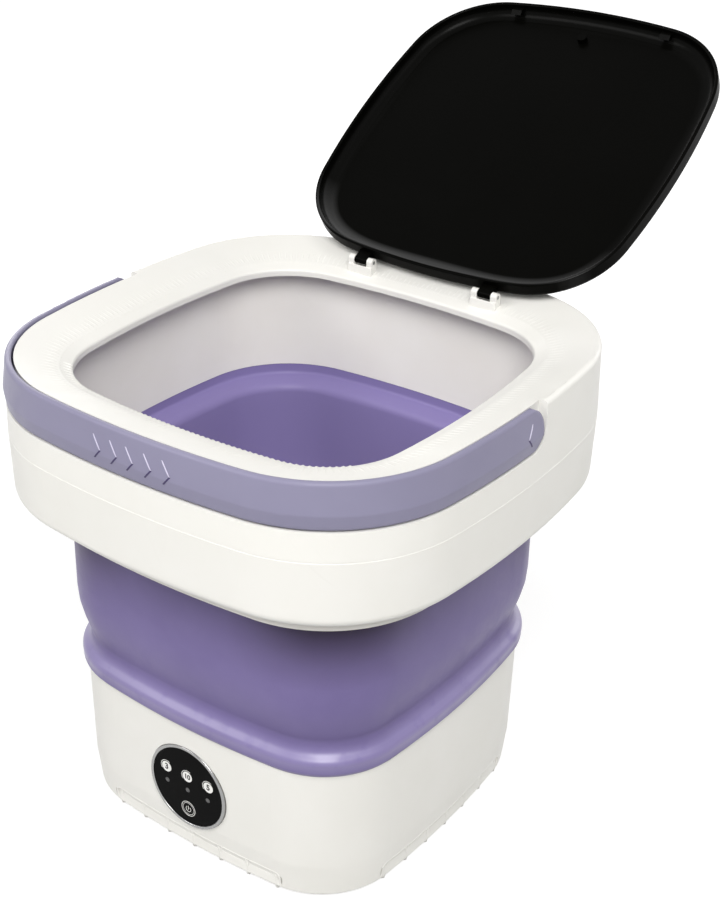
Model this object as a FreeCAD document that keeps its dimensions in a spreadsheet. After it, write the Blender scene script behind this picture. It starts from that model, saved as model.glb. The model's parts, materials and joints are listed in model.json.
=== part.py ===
import FreeCAD, Part
import math
import os
import re
import Sketcher

# Folding portable washing machine. Millimetres. +Z is up, the floor is z = 0,
# the control panel faces -Y and the lid is hinged at +Y.
SIZES = {
    # rigid collar: half width, corner radius and side radius of its bowed square outline
    "collar_half": 167.5,
    "collar_corner": 98.5,
    "collar_side": 650.0,
    "collar_top": 334.5,
    "collar_height": 94.5,
    "collar_wall": 3.0,
    "collar_draft": 1.4,
    "edge_round": 3.0,
    "skirt_round": 7.0,
    "skirt_return": 7.5,
    "frame_height": 49.5,
    "seam_bevel": 0.6,
    "tongue_height": 6.0,
    # dished top ring with its rolled inner lip
    "ring_width": 43.3,
    "ring_drop": 9.5,
    "lip_width": 8.5,
    "lip_drop": 3.6,
    "lip_hang": 4.4,
    # nested bail handle and the recess round it
    "handle_height": 29.0,
    "handle_top_drop": 0.5,
    "handle_depth": 5.3,
    "handle_bulge": 1.3,
    "handle_draft": 1.8,
    "handle_gap": 1.4,
    "handle_edge": 1.0,
    "handle_round": 2.0,
    "recess_depth": 7.3,
    "recess_clear": 1.0,
    "recess_end_gap": 5.0,
    "pivot_back": -3.0,
    "pivot_radius": 3.0,
    "pivot_bite": 3.6,
    "pivot_head_radius": 5.5,
    "pivot_head_height": 2.5,
    # inner wall of the tub inside the collar
    "liner_inset": 24.9,
    "liner_drop": 1.0,
    "liner_wall": 2.5,
    "liner_taper": 1.6,
    "liner_flange": 7.0,
    "liner_gap": 0.5,
    # lid, drawn closed and turned open about its hinge
    "lid_lap": 4.8,
    "lid_corner": 66.0,
    "lid_side": 531.0,
    "lid_wall": 2.6,
    "lid_rim": 12.3,
    "lid_round": 4.0,
    "lid_cove": 7.5,
    "lid_edge": 0.8,
    "lid_seat_gap": 1.3,
    "lid_open_angle": 148.6,
    "catch_radius": 3.6,
    "catch_inset": 22.0,
    "catch_height": 4.0,
    "hinge_reach": 8.35,
    "hinge_rise": 8.4,
    "hinge_spacing": 51.0,
    "knuckle_width": 10.0,
    "knuckle_radius": 2.8,
    "ear_width": 4.5,
    "ear_radius": 2.9,
    "ear_gap": 0.4,
    "hinge_pin_radius": 1.3,
    # soft folding wall
    "bellows_out": 3.8,
    "bellows_skin": 2.2,
    "ledge_drop": 10.0,
    "bellows_ledge_rise": 5.0,
    "step_rise": 39.0,
    "groove_rise": 23.0,
    "bellows_groove_depth": 6.2,
    "bulge_rise": 8.0,
    "bellows_bulge_depth": 1.4,
    "neck_round": 3.0,
    "ledge_round": 5.0,
    "step_round": 9.0,
    "groove_round": 4.0,
    "bulge_round": 6.0,
    "bead_height": 5.8,
    "bead_width": 2.5,
    "clamp_wall": 4.4,
    "clamp_lip": 2.5,
    # base housing
    "base_half": 127.0,
    "base_corner": 62.0,
    "base_side": 725.0,
    "base_top": 104.0,
    "base_low": 2.0,
    "base_wall": 3.0,
    "base_draft": 1.2,
    "base_turn": 28.0,
    "base_turn_round": 30.0,
    "base_foot_inset": 4.0,
    "base_edge_round": 3.0,
    "base_rim_width": 11.5,
    "band_low": 4.5,
    "band_high": 15.5,
    "band_inset": 53.0,
    "band_depth": 1.2,
    "boss_radius": 5.0,
    "boss_inset": 34.5,
    "boss_rise": 2.0,
    "rib_wall": 3.0,
    "cover_wall": 3.0,
    "cover_lip": 4.6,
    "foot_radius": 10.0,
    "foot_inset": 57.0,
    "screw_radius": 1.6,
    "screw_head_radius": 3.4,
    "screw_head_height": 1.6,
    "screw_length": 12.0,
    # wash pan, pulsator and drive
    "pan_depth": 40.0,
    "pan_wall": 2.5,
    "pan_flange": 2.2,
    "pan_mouth_inset": 15.0,
    "pan_floor_inset": 29.0,
    "pan_round": 6.0,
    "hub_radius": 15.0,
    "hub_rise": 2.0,
    "hub_height": 18.0,
    "housing_wall": 3.0,
    "shaft_radius": 4.0,
    "shaft_rise": 20.0,
    "shaft_room": 2.0,
    "bearing_radius": 11.0,
    "bearing_width": 7.0,
    "seal_radius": 9.0,
    "seal_height": 5.5,
    "pulsator_radius": 72.0,
    "pulsator_rim": 4.0,
    "pulsator_hub": 15.0,
    "pulsator_rise": 22.0,
    "pulsator_clear": 1.2,
    "pulsator_foot_round": 12.0,
    "pulsator_top_round": 4.0,
    "vane_count": 6.0,
    "vane_width": 8.0,
    "vane_height": 13.0,
    "vane_inset": 6.0,
    "vane_sink": 2.0,
    "vane_root": 1.0,
    "cap_radius": 7.0,
    "cap_height": 2.4,
    "motor_radius": 24.0,
    "motor_clear": 2.0,
    "motor_edge": 3.0,
    "gearbox_radius": 28.0,
    "gearbox_height": 14.0,
    "bracket_half": 40.0,
    "bracket_wall": 3.0,
    "post_radius": 4.5,
    "post_spacing": 32.0,
    # drain and power at the back
    "drain_side": 58.0,
    "drain_back": 45.0,
    "drain_drop": 28.0,
    "drain_radius": 9.0,
    "drain_wall": 2.0,
    "drain_bend": 13.0,
    "drain_reach": 14.0,
    "drain_step": 1.0,
    "strainer_radius": 13.0,
    "strainer_height": 1.6,
    "plug_depth": 12.0,
    "plug_head": 4.0,
    "inlet_side": 58.0,
    "inlet_height": 40.0,
    "inlet_width": 18.0,
    "inlet_tall": 14.0,
    "inlet_depth": 16.0,
    "inlet_flange": 2.0,
    "jack_radius": 3.2,
    "jack_pin_radius": 1.0,
    "jack_depth": 9.5,
    # round control panel on the front
    "panel_rise": 2.0,
    "panel_radius": 32.0,
    "bezel_width": 2.2,
    "bezel_lip": 3.4,
    "bezel_proud": 0.4,
    "bezel_depth": 11.0,
    "bezel_flange": 2.4,
    "panel_thick": 3.0,
    "panel_sink": 0.8,
    "board_thick": 1.6,
    # shared clearances
    "slide_gap": 0.3,
    "pin_gap": 0.06,
}

# Heights and widths that follow from the sizes above.
FOLLOWS = {
    "opening_half": "collar_half - ring_width",
    "liner_half": "collar_half - liner_inset",
    "seam_height": "collar_top - frame_height",
    "collar_low": "collar_top - collar_height",
    "liner_low": "collar_low - liner_drop",
    "lid_half": "opening_half + lid_lap",
    "bellows_half": "base_half + bellows_out",
    "bellows_ledge": "liner_low - ledge_drop",
    "bellows_step": "base_top + step_rise",
    "bellows_groove": "base_top + groove_rise",
    "bellows_bulge": "base_top + bulge_rise",
    "pan_floor": "base_top - pan_depth",
    "pan_mouth": "base_half - pan_mouth_inset",
    "pan_floor_half": "base_half - pan_floor_inset",
    "hub_top": "pan_floor + hub_rise",
    "hub_low": "hub_top - hub_height",
    "shaft_top": "pan_floor + shaft_rise",
    "boss_top": "pan_floor + boss_rise",
    "band_half": "base_half - band_inset",
    "foot_spacing": "base_half - foot_inset",
    "drain_height": "pan_floor - drain_drop",
    "panel_height": "(base_top + base_low) / 2 + panel_rise",
    "bezel_front": "base_half + bezel_proud",
}

doc = FreeCAD.newDocument("portable_washer")
sizes = doc.addObject("Spreadsheet::Sheet", "sizes")
for row, (alias, value) in enumerate(SIZES.items(), 1):
    sizes.set("A%d" % row, alias)
    sizes.set("B%d" % row, str(value))
    sizes.setAlias("B%d" % row, alias)
doc.recompute()

WORD = re.compile(r"[a-z_]+")


def bound(text):
    """The expression with each size read from the sheet and each following value written out."""
    def read(match):
        word = match.group()
        if word in FOLLOWS:
            return "(%s)" % bound(FOLLOWS[word])
        return "sizes." + word if word in SIZES else word
    return WORD.sub(read, text)


def number(text):
    return float(sizes.evalExpression(bound(text)))


def bind(thing, **settings):
    for name, text in settings.items():
        thing.setExpression(name.replace("__", "."), bound(text))


def new_body(name):
    body = doc.addObject("PartDesign::Body", name)
    body.Label = name
    return body


def sketch_on(body, role, name, offset="0"):
    """A sketch on one of the body's own planes, moved along the plane's normal."""
    sketch = body.newObject("Sketcher::SketchObject", name)
    plane = next(f for f in body.Origin.OriginFeatures if f.Role == role)
    sketch.AttachmentSupport = (plane, "")
    sketch.MapMode = "FlatFace"
    bind(sketch, AttachmentOffset__Base__z=offset)
    return sketch


def constrain(sketch, rules):
    """Adds (constraint, expression or None) pairs and ties the sized ones to the sheet."""
    first = sketch.ConstraintCount
    sketch.addConstraint([rule for rule, text in rules])
    for index, (rule, text) in enumerate(rules):
        if text is not None:
            sketch.setExpression("Constraints[%d]" % (first + index), bound(text))


def arc(centre, radius, start, end):
    circle = Part.Circle(FreeCAD.Vector(centre[0], centre[1], 0), FreeCAD.Vector(0, 0, 1), radius)
    return Part.ArcOfCircle(circle, start, end)


def rounded_square(sketch, half, corner, side):
    """Bowed square of tangent arcs that starts on +X: four sides, four round corners."""
    a, r, s = number(half), number(corner), number(side)
    c = (a - s + math.sqrt(2 * (s - r) ** 2 - (s - a) ** 2)) / 2
    turn = math.atan2(c, c - a + s)
    quarter = math.pi / 2
    side_at = [(a - s, 0), (0, a - s), (s - a, 0), (0, s - a)]
    corner_at = [(c, c), (-c, c), (-c, -c), (c, -c)]
    pieces = [arc(side_at[0], s, 0, turn)]
    for k in range(4):
        pieces.append(arc(corner_at[k], r, k * quarter + turn, (k + 1) * quarter - turn))
        if k < 3:
            pieces.append(arc(side_at[k + 1], s, (k + 1) * quarter - turn, (k + 1) * quarter + turn))
    pieces.append(arc(side_at[0], s, 4 * quarter - turn, 4 * quarter))
    first = len(sketch.Geometry)
    sketch.addGeometry(pieces, False)
    rules = []
    for k in range(9):
        rules.append((Sketcher.Constraint("Tangent", first + k, 2, first + (k + 1) % 9, 1), None))
    inward, outward = "%s - (%s)" % (half, side), "%s - (%s)" % (side, half)
    for k, text in enumerate((inward, inward, outward, outward)):
        geometry = first + 2 * k
        kind = "DistanceX" if k % 2 == 0 else "DistanceY"
        rules.append((Sketcher.Constraint("PointOnObject", geometry, 3, -1 - k % 2), None))
        rules.append((Sketcher.Constraint(kind, -1, 1, geometry, 3, number(text)), text))
        rules.append((Sketcher.Constraint("Radius", geometry, s), side))
        rules.append((Sketcher.Constraint("Radius", geometry + 1, r), corner))
    rules.append((Sketcher.Constraint("PointOnObject", first, 1, -1), None))
    rules.append((Sketcher.Constraint("Coincident", first, 3, first + 8, 3), None))
    constrain(sketch, rules)


def polygon(sketch, points):
    """Closed outline of (x, y) or (x, y, corner radius) points, each bound to the sheet."""
    count = len(points)
    at = [FreeCAD.Vector(number(p[0]), number(p[1]), 0) for p in points]
    arrive, leave, rounds = list(at), list(at), {}
    for i, point in enumerate(points):
        if len(point) < 3:
            continue
        radius = number(point[2])
        back = (at[i - 1] - at[i]).normalize()
        ahead = (at[(i + 1) % count] - at[i]).normalize()
        half_angle = back.getAngle(ahead) / 2
        arrive[i] = at[i] + back * (radius / math.tan(half_angle))
        leave[i] = at[i] + ahead * (radius / math.tan(half_angle))
        centre = at[i] + (back + ahead).normalize() * (radius / math.sin(half_angle))
        rounds[i] = (centre, radius, ahead.cross(back).z > 0)
    first = len(sketch.Geometry)
    sketch.addGeometry([Part.LineSegment(leave[i], arrive[(i + 1) % count]) for i in range(count)], False)
    rules = []
    for i, point in enumerate(points):
        before, after = first + (i - 1) % count, first + i
        held, held_end = after, 1
        if i in rounds:
            centre, radius, left_turn = rounds[i]
            ends = [arrive[i], leave[i]] if left_turn else [leave[i], arrive[i]]
            angles = [math.atan2(e.y - centre.y, e.x - centre.x) for e in ends]
            bend = sketch.addGeometry(arc((centre.x, centre.y), radius, *angles), False)
            held, held_end = sketch.addGeometry(Part.Point(at[i]), True), 1
            near, far = (1, 2) if left_turn else (2, 1)
            rules.append((Sketcher.Constraint("Tangent", before, 2, bend, near), None))
            rules.append((Sketcher.Constraint("Tangent", after, 1, bend, far), None))
            rules.append((Sketcher.Constraint("Radius", bend, radius), point[2]))
            rules.append((Sketcher.Constraint("PointOnObject", held, 1, before), None))
            rules.append((Sketcher.Constraint("PointOnObject", held, 1, after), None))
        else:
            rules.append((Sketcher.Constraint("Coincident", before, 2, after, 1), None))
        rules.append((Sketcher.Constraint("DistanceX", -1, 1, held, held_end, at[i].x), point[0]))
        rules.append((Sketcher.Constraint("DistanceY", -1, 1, held, held_end, at[i].y), point[1]))
    constrain(sketch, rules)


def circle(sketch, x, y, radius):
    shape = Part.Circle(FreeCAD.Vector(number(x), number(y), 0), FreeCAD.Vector(0, 0, 1), number(radius))
    index = sketch.addGeometry(shape, False)
    constrain(sketch, [
        (Sketcher.Constraint("DistanceX", -1, 1, index, 3, number(x)), x),
        (Sketcher.Constraint("DistanceY", -1, 1, index, 3, number(y)), y),
        (Sketcher.Constraint("Radius", index, number(radius)), radius),
    ])


def pad(body, sketch, length, midplane=False, flip=False):
    feature = body.newObject("PartDesign::Pad", sketch.Name + "_pad")
    feature.Profile = sketch
    feature.Midplane = midplane
    feature.Reversed = flip
    bind(feature, Length=length)
    return feature


def pocket(body, sketch, length, midplane=False, flip=False):
    feature = body.newObject("PartDesign::Pocket", sketch.Name + "_pocket")
    feature.Profile = sketch
    feature.Midplane = midplane
    feature.Reversed = flip
    bind(feature, Length=length)
    return feature


def revolve(body, points, name):
    """Turns a section drawn as (radius, height) about the body's Z axis."""
    sketch = sketch_on(body, "XZ_Plane", name)
    polygon(sketch, points)
    feature = body.newObject("PartDesign::Revolution", name + "_turn")
    feature.Profile = sketch
    feature.ReferenceAxis = (sketch, ["V_Axis"])
    feature.Angle = 360
    return feature


def turned(name, points):
    body = new_body(name)
    revolve(body, points, name + "_section")
    return body


def ring(name, path, points):
    """Sweeps a section drawn as (distance from centre, height) round a bowed square."""
    body = new_body(name)
    route = sketch_on(body, "XY_Plane", name + "_route")
    rounded_square(route, *path)
    section = sketch_on(body, "XZ_Plane", name + "_section")
    polygon(section, points)
    sweep = body.newObject("PartDesign::AdditivePipe", name + "_sweep")
    sweep.Profile = section
    sweep.Spine = (route, [])
    return body


def plate(body, name, path, low, thick, holes=()):
    sketch = sketch_on(body, "XY_Plane", name, low)
    rounded_square(sketch, *path)
    for hole in holes:
        circle(sketch, *hole)
    return pad(body, sketch, thick)


def around(body, feature, count):
    pattern = body.newObject("PartDesign::PolarPattern", feature.Name + "_round")
    pattern.Originals = [feature]
    axis = next(f for f in body.Origin.OriginFeatures if f.Role == "Z_Axis")
    pattern.Axis = (axis, [""])
    pattern.Angle = 360
    bind(pattern, Occurrences=count)
    body.Tip = pattern
    return pattern


def inset(path, distance):
    """The same bowed square, moved inward by one distance all round."""
    return tuple("%s - (%s)" % (text, distance) for text in path)


def joined(kind, name, base, tool):
    result = doc.addObject("Part::" + kind, name)
    result.Label = name
    result.Base = base
    result.Tool = tool
    return result


def rod(name, radius, start, end, y, z):
    """A round bar along X."""
    bar = doc.addObject("Part::Cylinder", name)
    bar.Placement = FreeCAD.Placement(FreeCAD.Vector(), FreeCAD.Rotation(FreeCAD.Vector(0, 1, 0), 90))
    bind(bar, Radius=radius, Height="%s - (%s)" % (end, start))
    bind(bar, Placement__Base__x=start, Placement__Base__y=y, Placement__Base__z=z)
    return bar


def group(name, members):
    compound = doc.addObject("Part::Compound", name)
    compound.Label = name
    compound.Links = members
    return compound


def screws(name, places, seat, up):
    """Pan-head screws at (x, y) places; heads rest on the seat height, shanks go up or down."""
    body = new_body(name)
    body.AllowCompound = True
    head = sketch_on(body, "XY_Plane", name + "_heads", seat)
    shank = sketch_on(body, "XY_Plane", name + "_shanks", seat)
    for x, y in places:
        circle(head, x, y, "screw_head_radius")
        circle(shank, x, y, "screw_radius")
    pad(body, head, "screw_head_height", flip=up)
    pad(body, shank, "screw_length", flip=not up)
    return body


COLLAR = ("collar_half", "collar_corner", "collar_side")
BASE = ("base_half", "base_corner", "base_side")
LID = ("lid_half", "lid_corner", "lid_side")

# Heights and widths that several pieces share.
RING_EDGE = "(collar_half - collar_draft)"
LIP_OUT = "(opening_half + lip_width)"
LIP_TOP = "(collar_top - ring_drop)"
RING_SLOPE = "(ring_drop / (%s - %s))" % (RING_EDGE, LIP_OUT)
RECESS = "(collar_half - recess_depth)"
PIVOT = "(collar_top - handle_top_drop - handle_height / 2)"
RECESS_LOW = "(collar_top - handle_top_drop - handle_height - recess_clear)"
HINGE_Y = "(opening_half + hinge_reach)"
HINGE_Z = "(%s + hinge_rise)" % LIP_TOP


def ring_under(x):
    """Height of the dished ring's underside at one distance from the centre."""
    return "(%s + (%s - %s) * %s - collar_wall)" % (LIP_TOP, x, LIP_OUT, RING_SLOPE)


# Top frame: outer wall, dished ring and rolled lip in one moulding.
frame = ring("frame_moulding", COLLAR, [
    ("collar_half - seam_bevel", "seam_height"),
    ("collar_half", "seam_height + seam_bevel"),
    (RING_EDGE, "collar_top", "edge_round"),
    (LIP_OUT, LIP_TOP, "lip_width"),
    ("opening_half", LIP_TOP + " - lip_drop", "collar_wall / 1.5"),
    ("opening_half", LIP_TOP + " - lip_drop - lip_hang"),
    ("opening_half + collar_wall", LIP_TOP + " - lip_drop - lip_hang"),
    ("opening_half + collar_wall", LIP_TOP + " - lip_drop - collar_wall / 2"),
    (LIP_OUT, ring_under(LIP_OUT)),
    (RECESS + " - collar_wall", ring_under("(%s - collar_wall)" % RECESS)),
    (RECESS + " - collar_wall", RECESS_LOW + " - collar_wall"),
    ("collar_half - collar_wall", RECESS_LOW + " - collar_wall"),
    ("collar_half - collar_wall", "seam_height"),
])
ear_count = 0
for side in ("-1", "1"):
    for edge in ("-(knuckle_width / 2 + ear_gap + ear_width)", "knuckle_width / 2 + ear_gap"):
        ear_count += 1
        ear_at = "%s * hinge_spacing + (%s)" % (side, edge)
        ear = sketch_on(frame, "YZ_Plane", "ear_%d" % ear_count, ear_at)
        polygon(ear, [
            (HINGE_Y + " - ear_radius", LIP_TOP + " - collar_wall / 2"),
            (HINGE_Y + " + ear_radius", LIP_TOP + " - collar_wall / 2"),
            (HINGE_Y + " + ear_radius", HINGE_Z + " + ear_radius", "ear_radius * 0.98"),
            (HINGE_Y + " - ear_radius", HINGE_Z + " + ear_radius", "ear_radius * 0.98"),
        ])
        pad(frame, ear, "ear_width")
ear_hole = sketch_on(frame, "YZ_Plane", "ear_hole")
circle(ear_hole, HINGE_Y, HINGE_Z, "hinge_pin_radius + pin_gap")
EAR_SPAN = "(hinge_spacing + knuckle_width / 2 + ear_gap + ear_width)"
pocket(frame, ear_hole, "2 * %s + 2" % EAR_SPAN, midplane=True)

# Handle recess: a swept band that only the front and half of each side keep.
recess_band = ring("recess_band", COLLAR, [
    (RECESS, RECESS_LOW),
    ("collar_half + recess_depth", RECESS_LOW),
    ("collar_half + recess_depth", "collar_top + recess_depth"),
    (RECESS, "collar_top + recess_depth"),
])
recess_reach = new_body("recess_reach")
reach = sketch_on(recess_reach, "YZ_Plane", "recess_side")
RECESS_BACK = "(pivot_back + handle_height / 2 + recess_end_gap)"
polygon(reach, [
    ("-2 * collar_half", RECESS_LOW),
    (RECESS_BACK, RECESS_LOW, "handle_height / 2"),
    (RECESS_BACK, "collar_top + 2 * recess_depth"),
    ("-2 * collar_half", "collar_top + 2 * recess_depth"),
])
pad(recess_reach, reach, "3 * collar_half", midplane=True)
recess = joined("Common", "handle_recess", recess_band, recess_reach)
frame_cut = joined("Cut", "frame_recessed", frame, recess)
PIN_IN = "(%s - collar_wall - slide_gap)" % RECESS
PIN_OUT = "(%s + handle_gap + pivot_bite)" % RECESS
bores = []
pins = []
for side, word in ((-1, "left"), (1, "right")):
    near, far = (PIN_IN, PIN_OUT) if side > 0 else ("-" + PIN_OUT, "-" + PIN_IN)
    fit = "pivot_radius + pin_gap"
    bores.append(rod("pivot_bore_" + word, fit, near + " - 1", far + " + 1", "pivot_back", PIVOT))
    shank = rod("pivot_shank_" + word, "pivot_radius", near, far, "pivot_back", PIVOT)
    head_near = "%s - pivot_head_height" % PIN_IN if side > 0 else "-" + PIN_IN
    head_far = PIN_IN if side > 0 else "-%s + pivot_head_height" % PIN_IN
    head = rod("pivot_head_" + word, "pivot_head_radius", head_near, head_far, "pivot_back", PIVOT)
    pins.append(joined("Fuse", "pivot_pin_" + word, shank, head))
frame_bore = joined("Cut", "frame_one_bore", frame_cut, bores[0])
top_frame = joined("Cut", "top_frame", frame_bore, bores[1])
handle_pins = group("handle_pins", pins)

# Handle: swept grip with round ends that turn about the pivot pins.
HANDLE_TOP = "(collar_top - handle_top_drop)"
HANDLE_LOW = "(collar_top - handle_top_drop - handle_height)"
HANDLE_IN = "(%s + handle_gap)" % RECESS
grip = ring("handle_grip", COLLAR, [
    (HANDLE_IN, HANDLE_TOP, "handle_edge"),
    (HANDLE_IN + " + handle_depth - handle_bulge", HANDLE_TOP, "handle_round"),
    (HANDLE_IN + " + handle_depth + handle_bulge", PIVOT + " - handle_height / 6"),
    (HANDLE_IN + " + handle_depth", HANDLE_LOW, "handle_round"),
    (HANDLE_IN + " + handle_draft", HANDLE_LOW),
])
handle_reach = new_body("handle_reach")
side_view = sketch_on(handle_reach, "YZ_Plane", "handle_side")
END = "(handle_height / 2 + slide_gap)"
polygon(side_view, [
    ("-2 * collar_half", PIVOT + " - " + END),
    ("pivot_back + " + END, PIVOT + " - " + END, END + " * 0.98"),
    ("pivot_back + " + END, PIVOT + " + " + END, END + " * 0.98"),
    ("-2 * collar_half", PIVOT + " + " + END),
])
pad(handle_reach, side_view, "3 * collar_half", midplane=True)
grip_front = joined("Common", "handle_front", grip, handle_reach)
SOCKET_END = "(%s + pin_gap)" % PIN_OUT
socket = rod("handle_socket", "pivot_radius + pin_gap", "-" + SOCKET_END, SOCKET_END, "pivot_back", PIVOT)
handle = joined("Cut", "handle", grip_front, socket)

# Skirt below the seam, with a tongue behind the frame and a rolled lower edge.
collar_skirt = ring("collar_skirt", COLLAR, [
    ("collar_half - seam_bevel", "seam_height"),
    ("collar_half - collar_wall - slide_gap", "seam_height"),
    ("collar_half - collar_wall - slide_gap", "seam_height + tongue_height"),
    ("collar_half - 2 * collar_wall", "seam_height + tongue_height"),
    ("collar_half - 2 * collar_wall", "seam_height - tongue_height"),
    ("collar_half - collar_draft - collar_wall", "collar_low + collar_wall", "skirt_round - collar_wall"),
    ("collar_half - collar_draft - skirt_return", "collar_low + collar_wall"),
    ("collar_half - collar_draft - skirt_return", "collar_low"),
    ("collar_half - collar_draft", "collar_low", "skirt_round"),
    ("collar_half", "seam_height - seam_bevel"),
])

# Inner wall of the tub, hung under the ring.
LINER_TOP_IN = "(liner_half - liner_taper)"
LINER_TOP_OUT = "(liner_half - liner_taper + liner_wall)"
CLAMP_TOP = "(liner_low + liner_wall)"
tub_liner = ring("tub_liner", COLLAR, [
    ("liner_half", "liner_low"),
    ("liner_half + liner_wall", "liner_low"),
    ("liner_half + liner_wall", CLAMP_TOP),
    ("liner_half + liner_wall + liner_flange", CLAMP_TOP),
    ("liner_half + liner_wall + liner_flange", CLAMP_TOP + " + liner_wall"),
    ("liner_half + liner_wall", CLAMP_TOP + " + liner_wall"),
    (LINER_TOP_OUT, ring_under(LINER_TOP_OUT) + " - liner_gap"),
    (LINER_TOP_IN, ring_under(LINER_TOP_IN) + " - liner_gap"),
])

# Soft wall: clamped bead, ledge, upper wall, fold groove, lower bulge and clamped flange.
BEAD_TOP = "(liner_low - slide_gap)"
BEAD_LOW = "(%s - bead_height)" % BEAD_TOP
NECK_IN = "liner_half"
NECK_OUT = "(liner_half + bellows_skin)"
GROOVE = "(bellows_half - bellows_groove_depth)"
BULGE = "(bellows_half - bellows_bulge_depth)"
FLANGE_IN = "(base_half - base_rim_width)"
bellows = ring("bellows", COLLAR, [
    (NECK_OUT + " + bead_width", BEAD_TOP),
    (NECK_OUT + " + bead_width", BEAD_LOW),
    (NECK_OUT, BEAD_LOW),
    (NECK_OUT, "bellows_ledge - bellows_skin + bellows_ledge_rise / 2", "neck_round"),
    ("bellows_half", "bellows_ledge - bellows_skin - bellows_ledge_rise / 2", "ledge_round"),
    ("bellows_half", "bellows_step", "step_round"),
    (GROOVE, "bellows_groove", "groove_round"),
    (BULGE, "bellows_bulge", "bulge_round"),
    ("base_half + slide_gap", "base_top"),
    (FLANGE_IN, "base_top"),
    (FLANGE_IN, "base_top + bellows_skin"),
    ("base_half - bellows_skin", "base_top + bellows_skin"),
    (BULGE + " - bellows_skin", "bellows_bulge", "bulge_round - bellows_skin"),
    (GROOVE + " - bellows_skin", "bellows_groove", "groove_round + bellows_skin"),
    ("bellows_half - bellows_skin", "bellows_step", "step_round - bellows_skin"),
    ("bellows_half - bellows_skin", "bellows_ledge - bellows_ledge_rise / 2", "ledge_round + bellows_skin"),
    (NECK_IN, "bellows_ledge + bellows_ledge_rise / 2", "neck_round"),
    (NECK_IN, BEAD_TOP),
])
CLAMP_IN = "(%s + bead_width + slide_gap)" % NECK_OUT
upper_clamp = ring("upper_clamp_ring", COLLAR, [
    (CLAMP_IN, CLAMP_TOP),
    (CLAMP_IN, BEAD_LOW + " - slide_gap"),
    (NECK_OUT + " + slide_gap", BEAD_LOW + " - slide_gap"),
    (NECK_OUT + " + slide_gap", BEAD_LOW + " - slide_gap - clamp_lip"),
    (CLAMP_IN + " + clamp_wall", BEAD_LOW + " - slide_gap - clamp_lip"),
    (CLAMP_IN + " + clamp_wall", CLAMP_TOP),
])
CLAMP_LOW = "(base_top + bellows_skin)"
lower_clamp = ring("lower_clamp_ring", BASE, [
    ("pan_mouth", CLAMP_LOW),
    (FLANGE_IN + " + base_rim_width / 2", CLAMP_LOW),
    (FLANGE_IN + " + base_rim_width / 2", CLAMP_LOW + " + clamp_lip / 2"),
    (FLANGE_IN + " + base_rim_width / 2 - clamp_lip / 2", CLAMP_LOW + " + clamp_lip"),
    ("pan_mouth + clamp_lip / 2", CLAMP_LOW + " + clamp_lip"),
    ("pan_mouth", CLAMP_LOW + " + clamp_lip / 2"),
])

# Base housing with its rim, corner bosses, panel hole and rear openings.
RIM_TOP = "(base_top - pan_flange)"
RIM_LOW = "(base_top - pan_flange - base_wall)"
FOOT_OUT = "(base_half - base_foot_inset)"
COVER_HALF = "(base_half - base_foot_inset - cover_lip)"
shell = ring("base_moulding", BASE, [
    ("base_half", "base_top"),
    ("base_half - base_draft", "base_turn", "base_turn_round"),
    (FOOT_OUT, "base_low", "base_edge_round"),
    (COVER_HALF, "base_low"),
    (COVER_HALF, "base_low + cover_wall"),
    (FOOT_OUT + " - base_wall / 2", "base_low + cover_wall"),
    ("base_half - base_draft - base_wall", "base_turn", "base_turn_round - base_wall"),
    ("base_half - base_wall", RIM_LOW),
    (FLANGE_IN, RIM_LOW),
    (FLANGE_IN, RIM_TOP),
    ("base_half - base_wall", RIM_TOP),
    ("base_half - base_wall", "base_top"),
])
BOSS = "(base_half - boss_inset)"
boss = sketch_on(shell, "XY_Plane", "boss", "base_low + cover_wall")
circle(boss, BOSS, BOSS, "boss_radius")
boss_pad = pad(shell, boss, "boss_top - base_low - cover_wall")
around(shell, boss_pad, "4")
web = sketch_on(shell, "XY_Plane", "boss_web", "base_turn + base_wall")
CORNER_SPAN = "sqrt(2 * (base_side - base_corner) ^ 2 - (base_side - base_half) ^ 2)"
CORNER_AT = "((base_half - base_side + %s) / 2)" % CORNER_SPAN
CORNER_MID = "(base_corner - base_draft - base_wall / 2)"
OUT = "(%s + sqrt(%s ^ 2 - (%s - %s) ^ 2))" % (CORNER_AT, CORNER_MID, BOSS, CORNER_AT)
EDGE = "(rib_wall / 2)"
polygon(web, [
    (BOSS, BOSS + " - " + EDGE),
    (OUT, BOSS + " - " + EDGE),
    (OUT, BOSS + " + " + EDGE),
    (BOSS, BOSS + " + " + EDGE),
])
web_pad = pad(shell, web, "boss_top - base_turn - base_wall")
around(shell, web_pad, "4")
boss_bore = sketch_on(shell, "XY_Plane", "boss_bore", "base_low + cover_wall")
circle(boss_bore, BOSS, BOSS, "screw_radius + pin_gap")
boss_hole = pocket(shell, boss_bore, "screw_length + 1", flip=True)
around(shell, boss_hole, "4")
panel_hole = sketch_on(shell, "XZ_Plane", "panel_hole")
circle(panel_hole, "0", "panel_height", "panel_radius + slide_gap")
pocket(shell, panel_hole, "2 * base_half", flip=True)
drain_hole = sketch_on(shell, "XZ_Plane", "drain_hole")
circle(drain_hole, "-drain_side", "drain_height", "drain_radius + slide_gap")
pocket(shell, drain_hole, "2 * base_half")
inlet_hole = sketch_on(shell, "XZ_Plane", "inlet_hole")
IN_X = "(inlet_width / 2 + slide_gap)"
IN_Z = "(inlet_tall / 2 + slide_gap)"
polygon(inlet_hole, [
    ("inlet_side - " + IN_X, "inlet_height - " + IN_Z),
    ("inlet_side + " + IN_X, "inlet_height - " + IN_Z),
    ("inlet_side + " + IN_X, "inlet_height + " + IN_Z),
    ("inlet_side - " + IN_X, "inlet_height + " + IN_Z),
])
pocket(shell, inlet_hole, "2 * base_half")
FOOT_SLOPE = "((base_foot_inset - base_draft) / (base_turn - base_low))"
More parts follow.
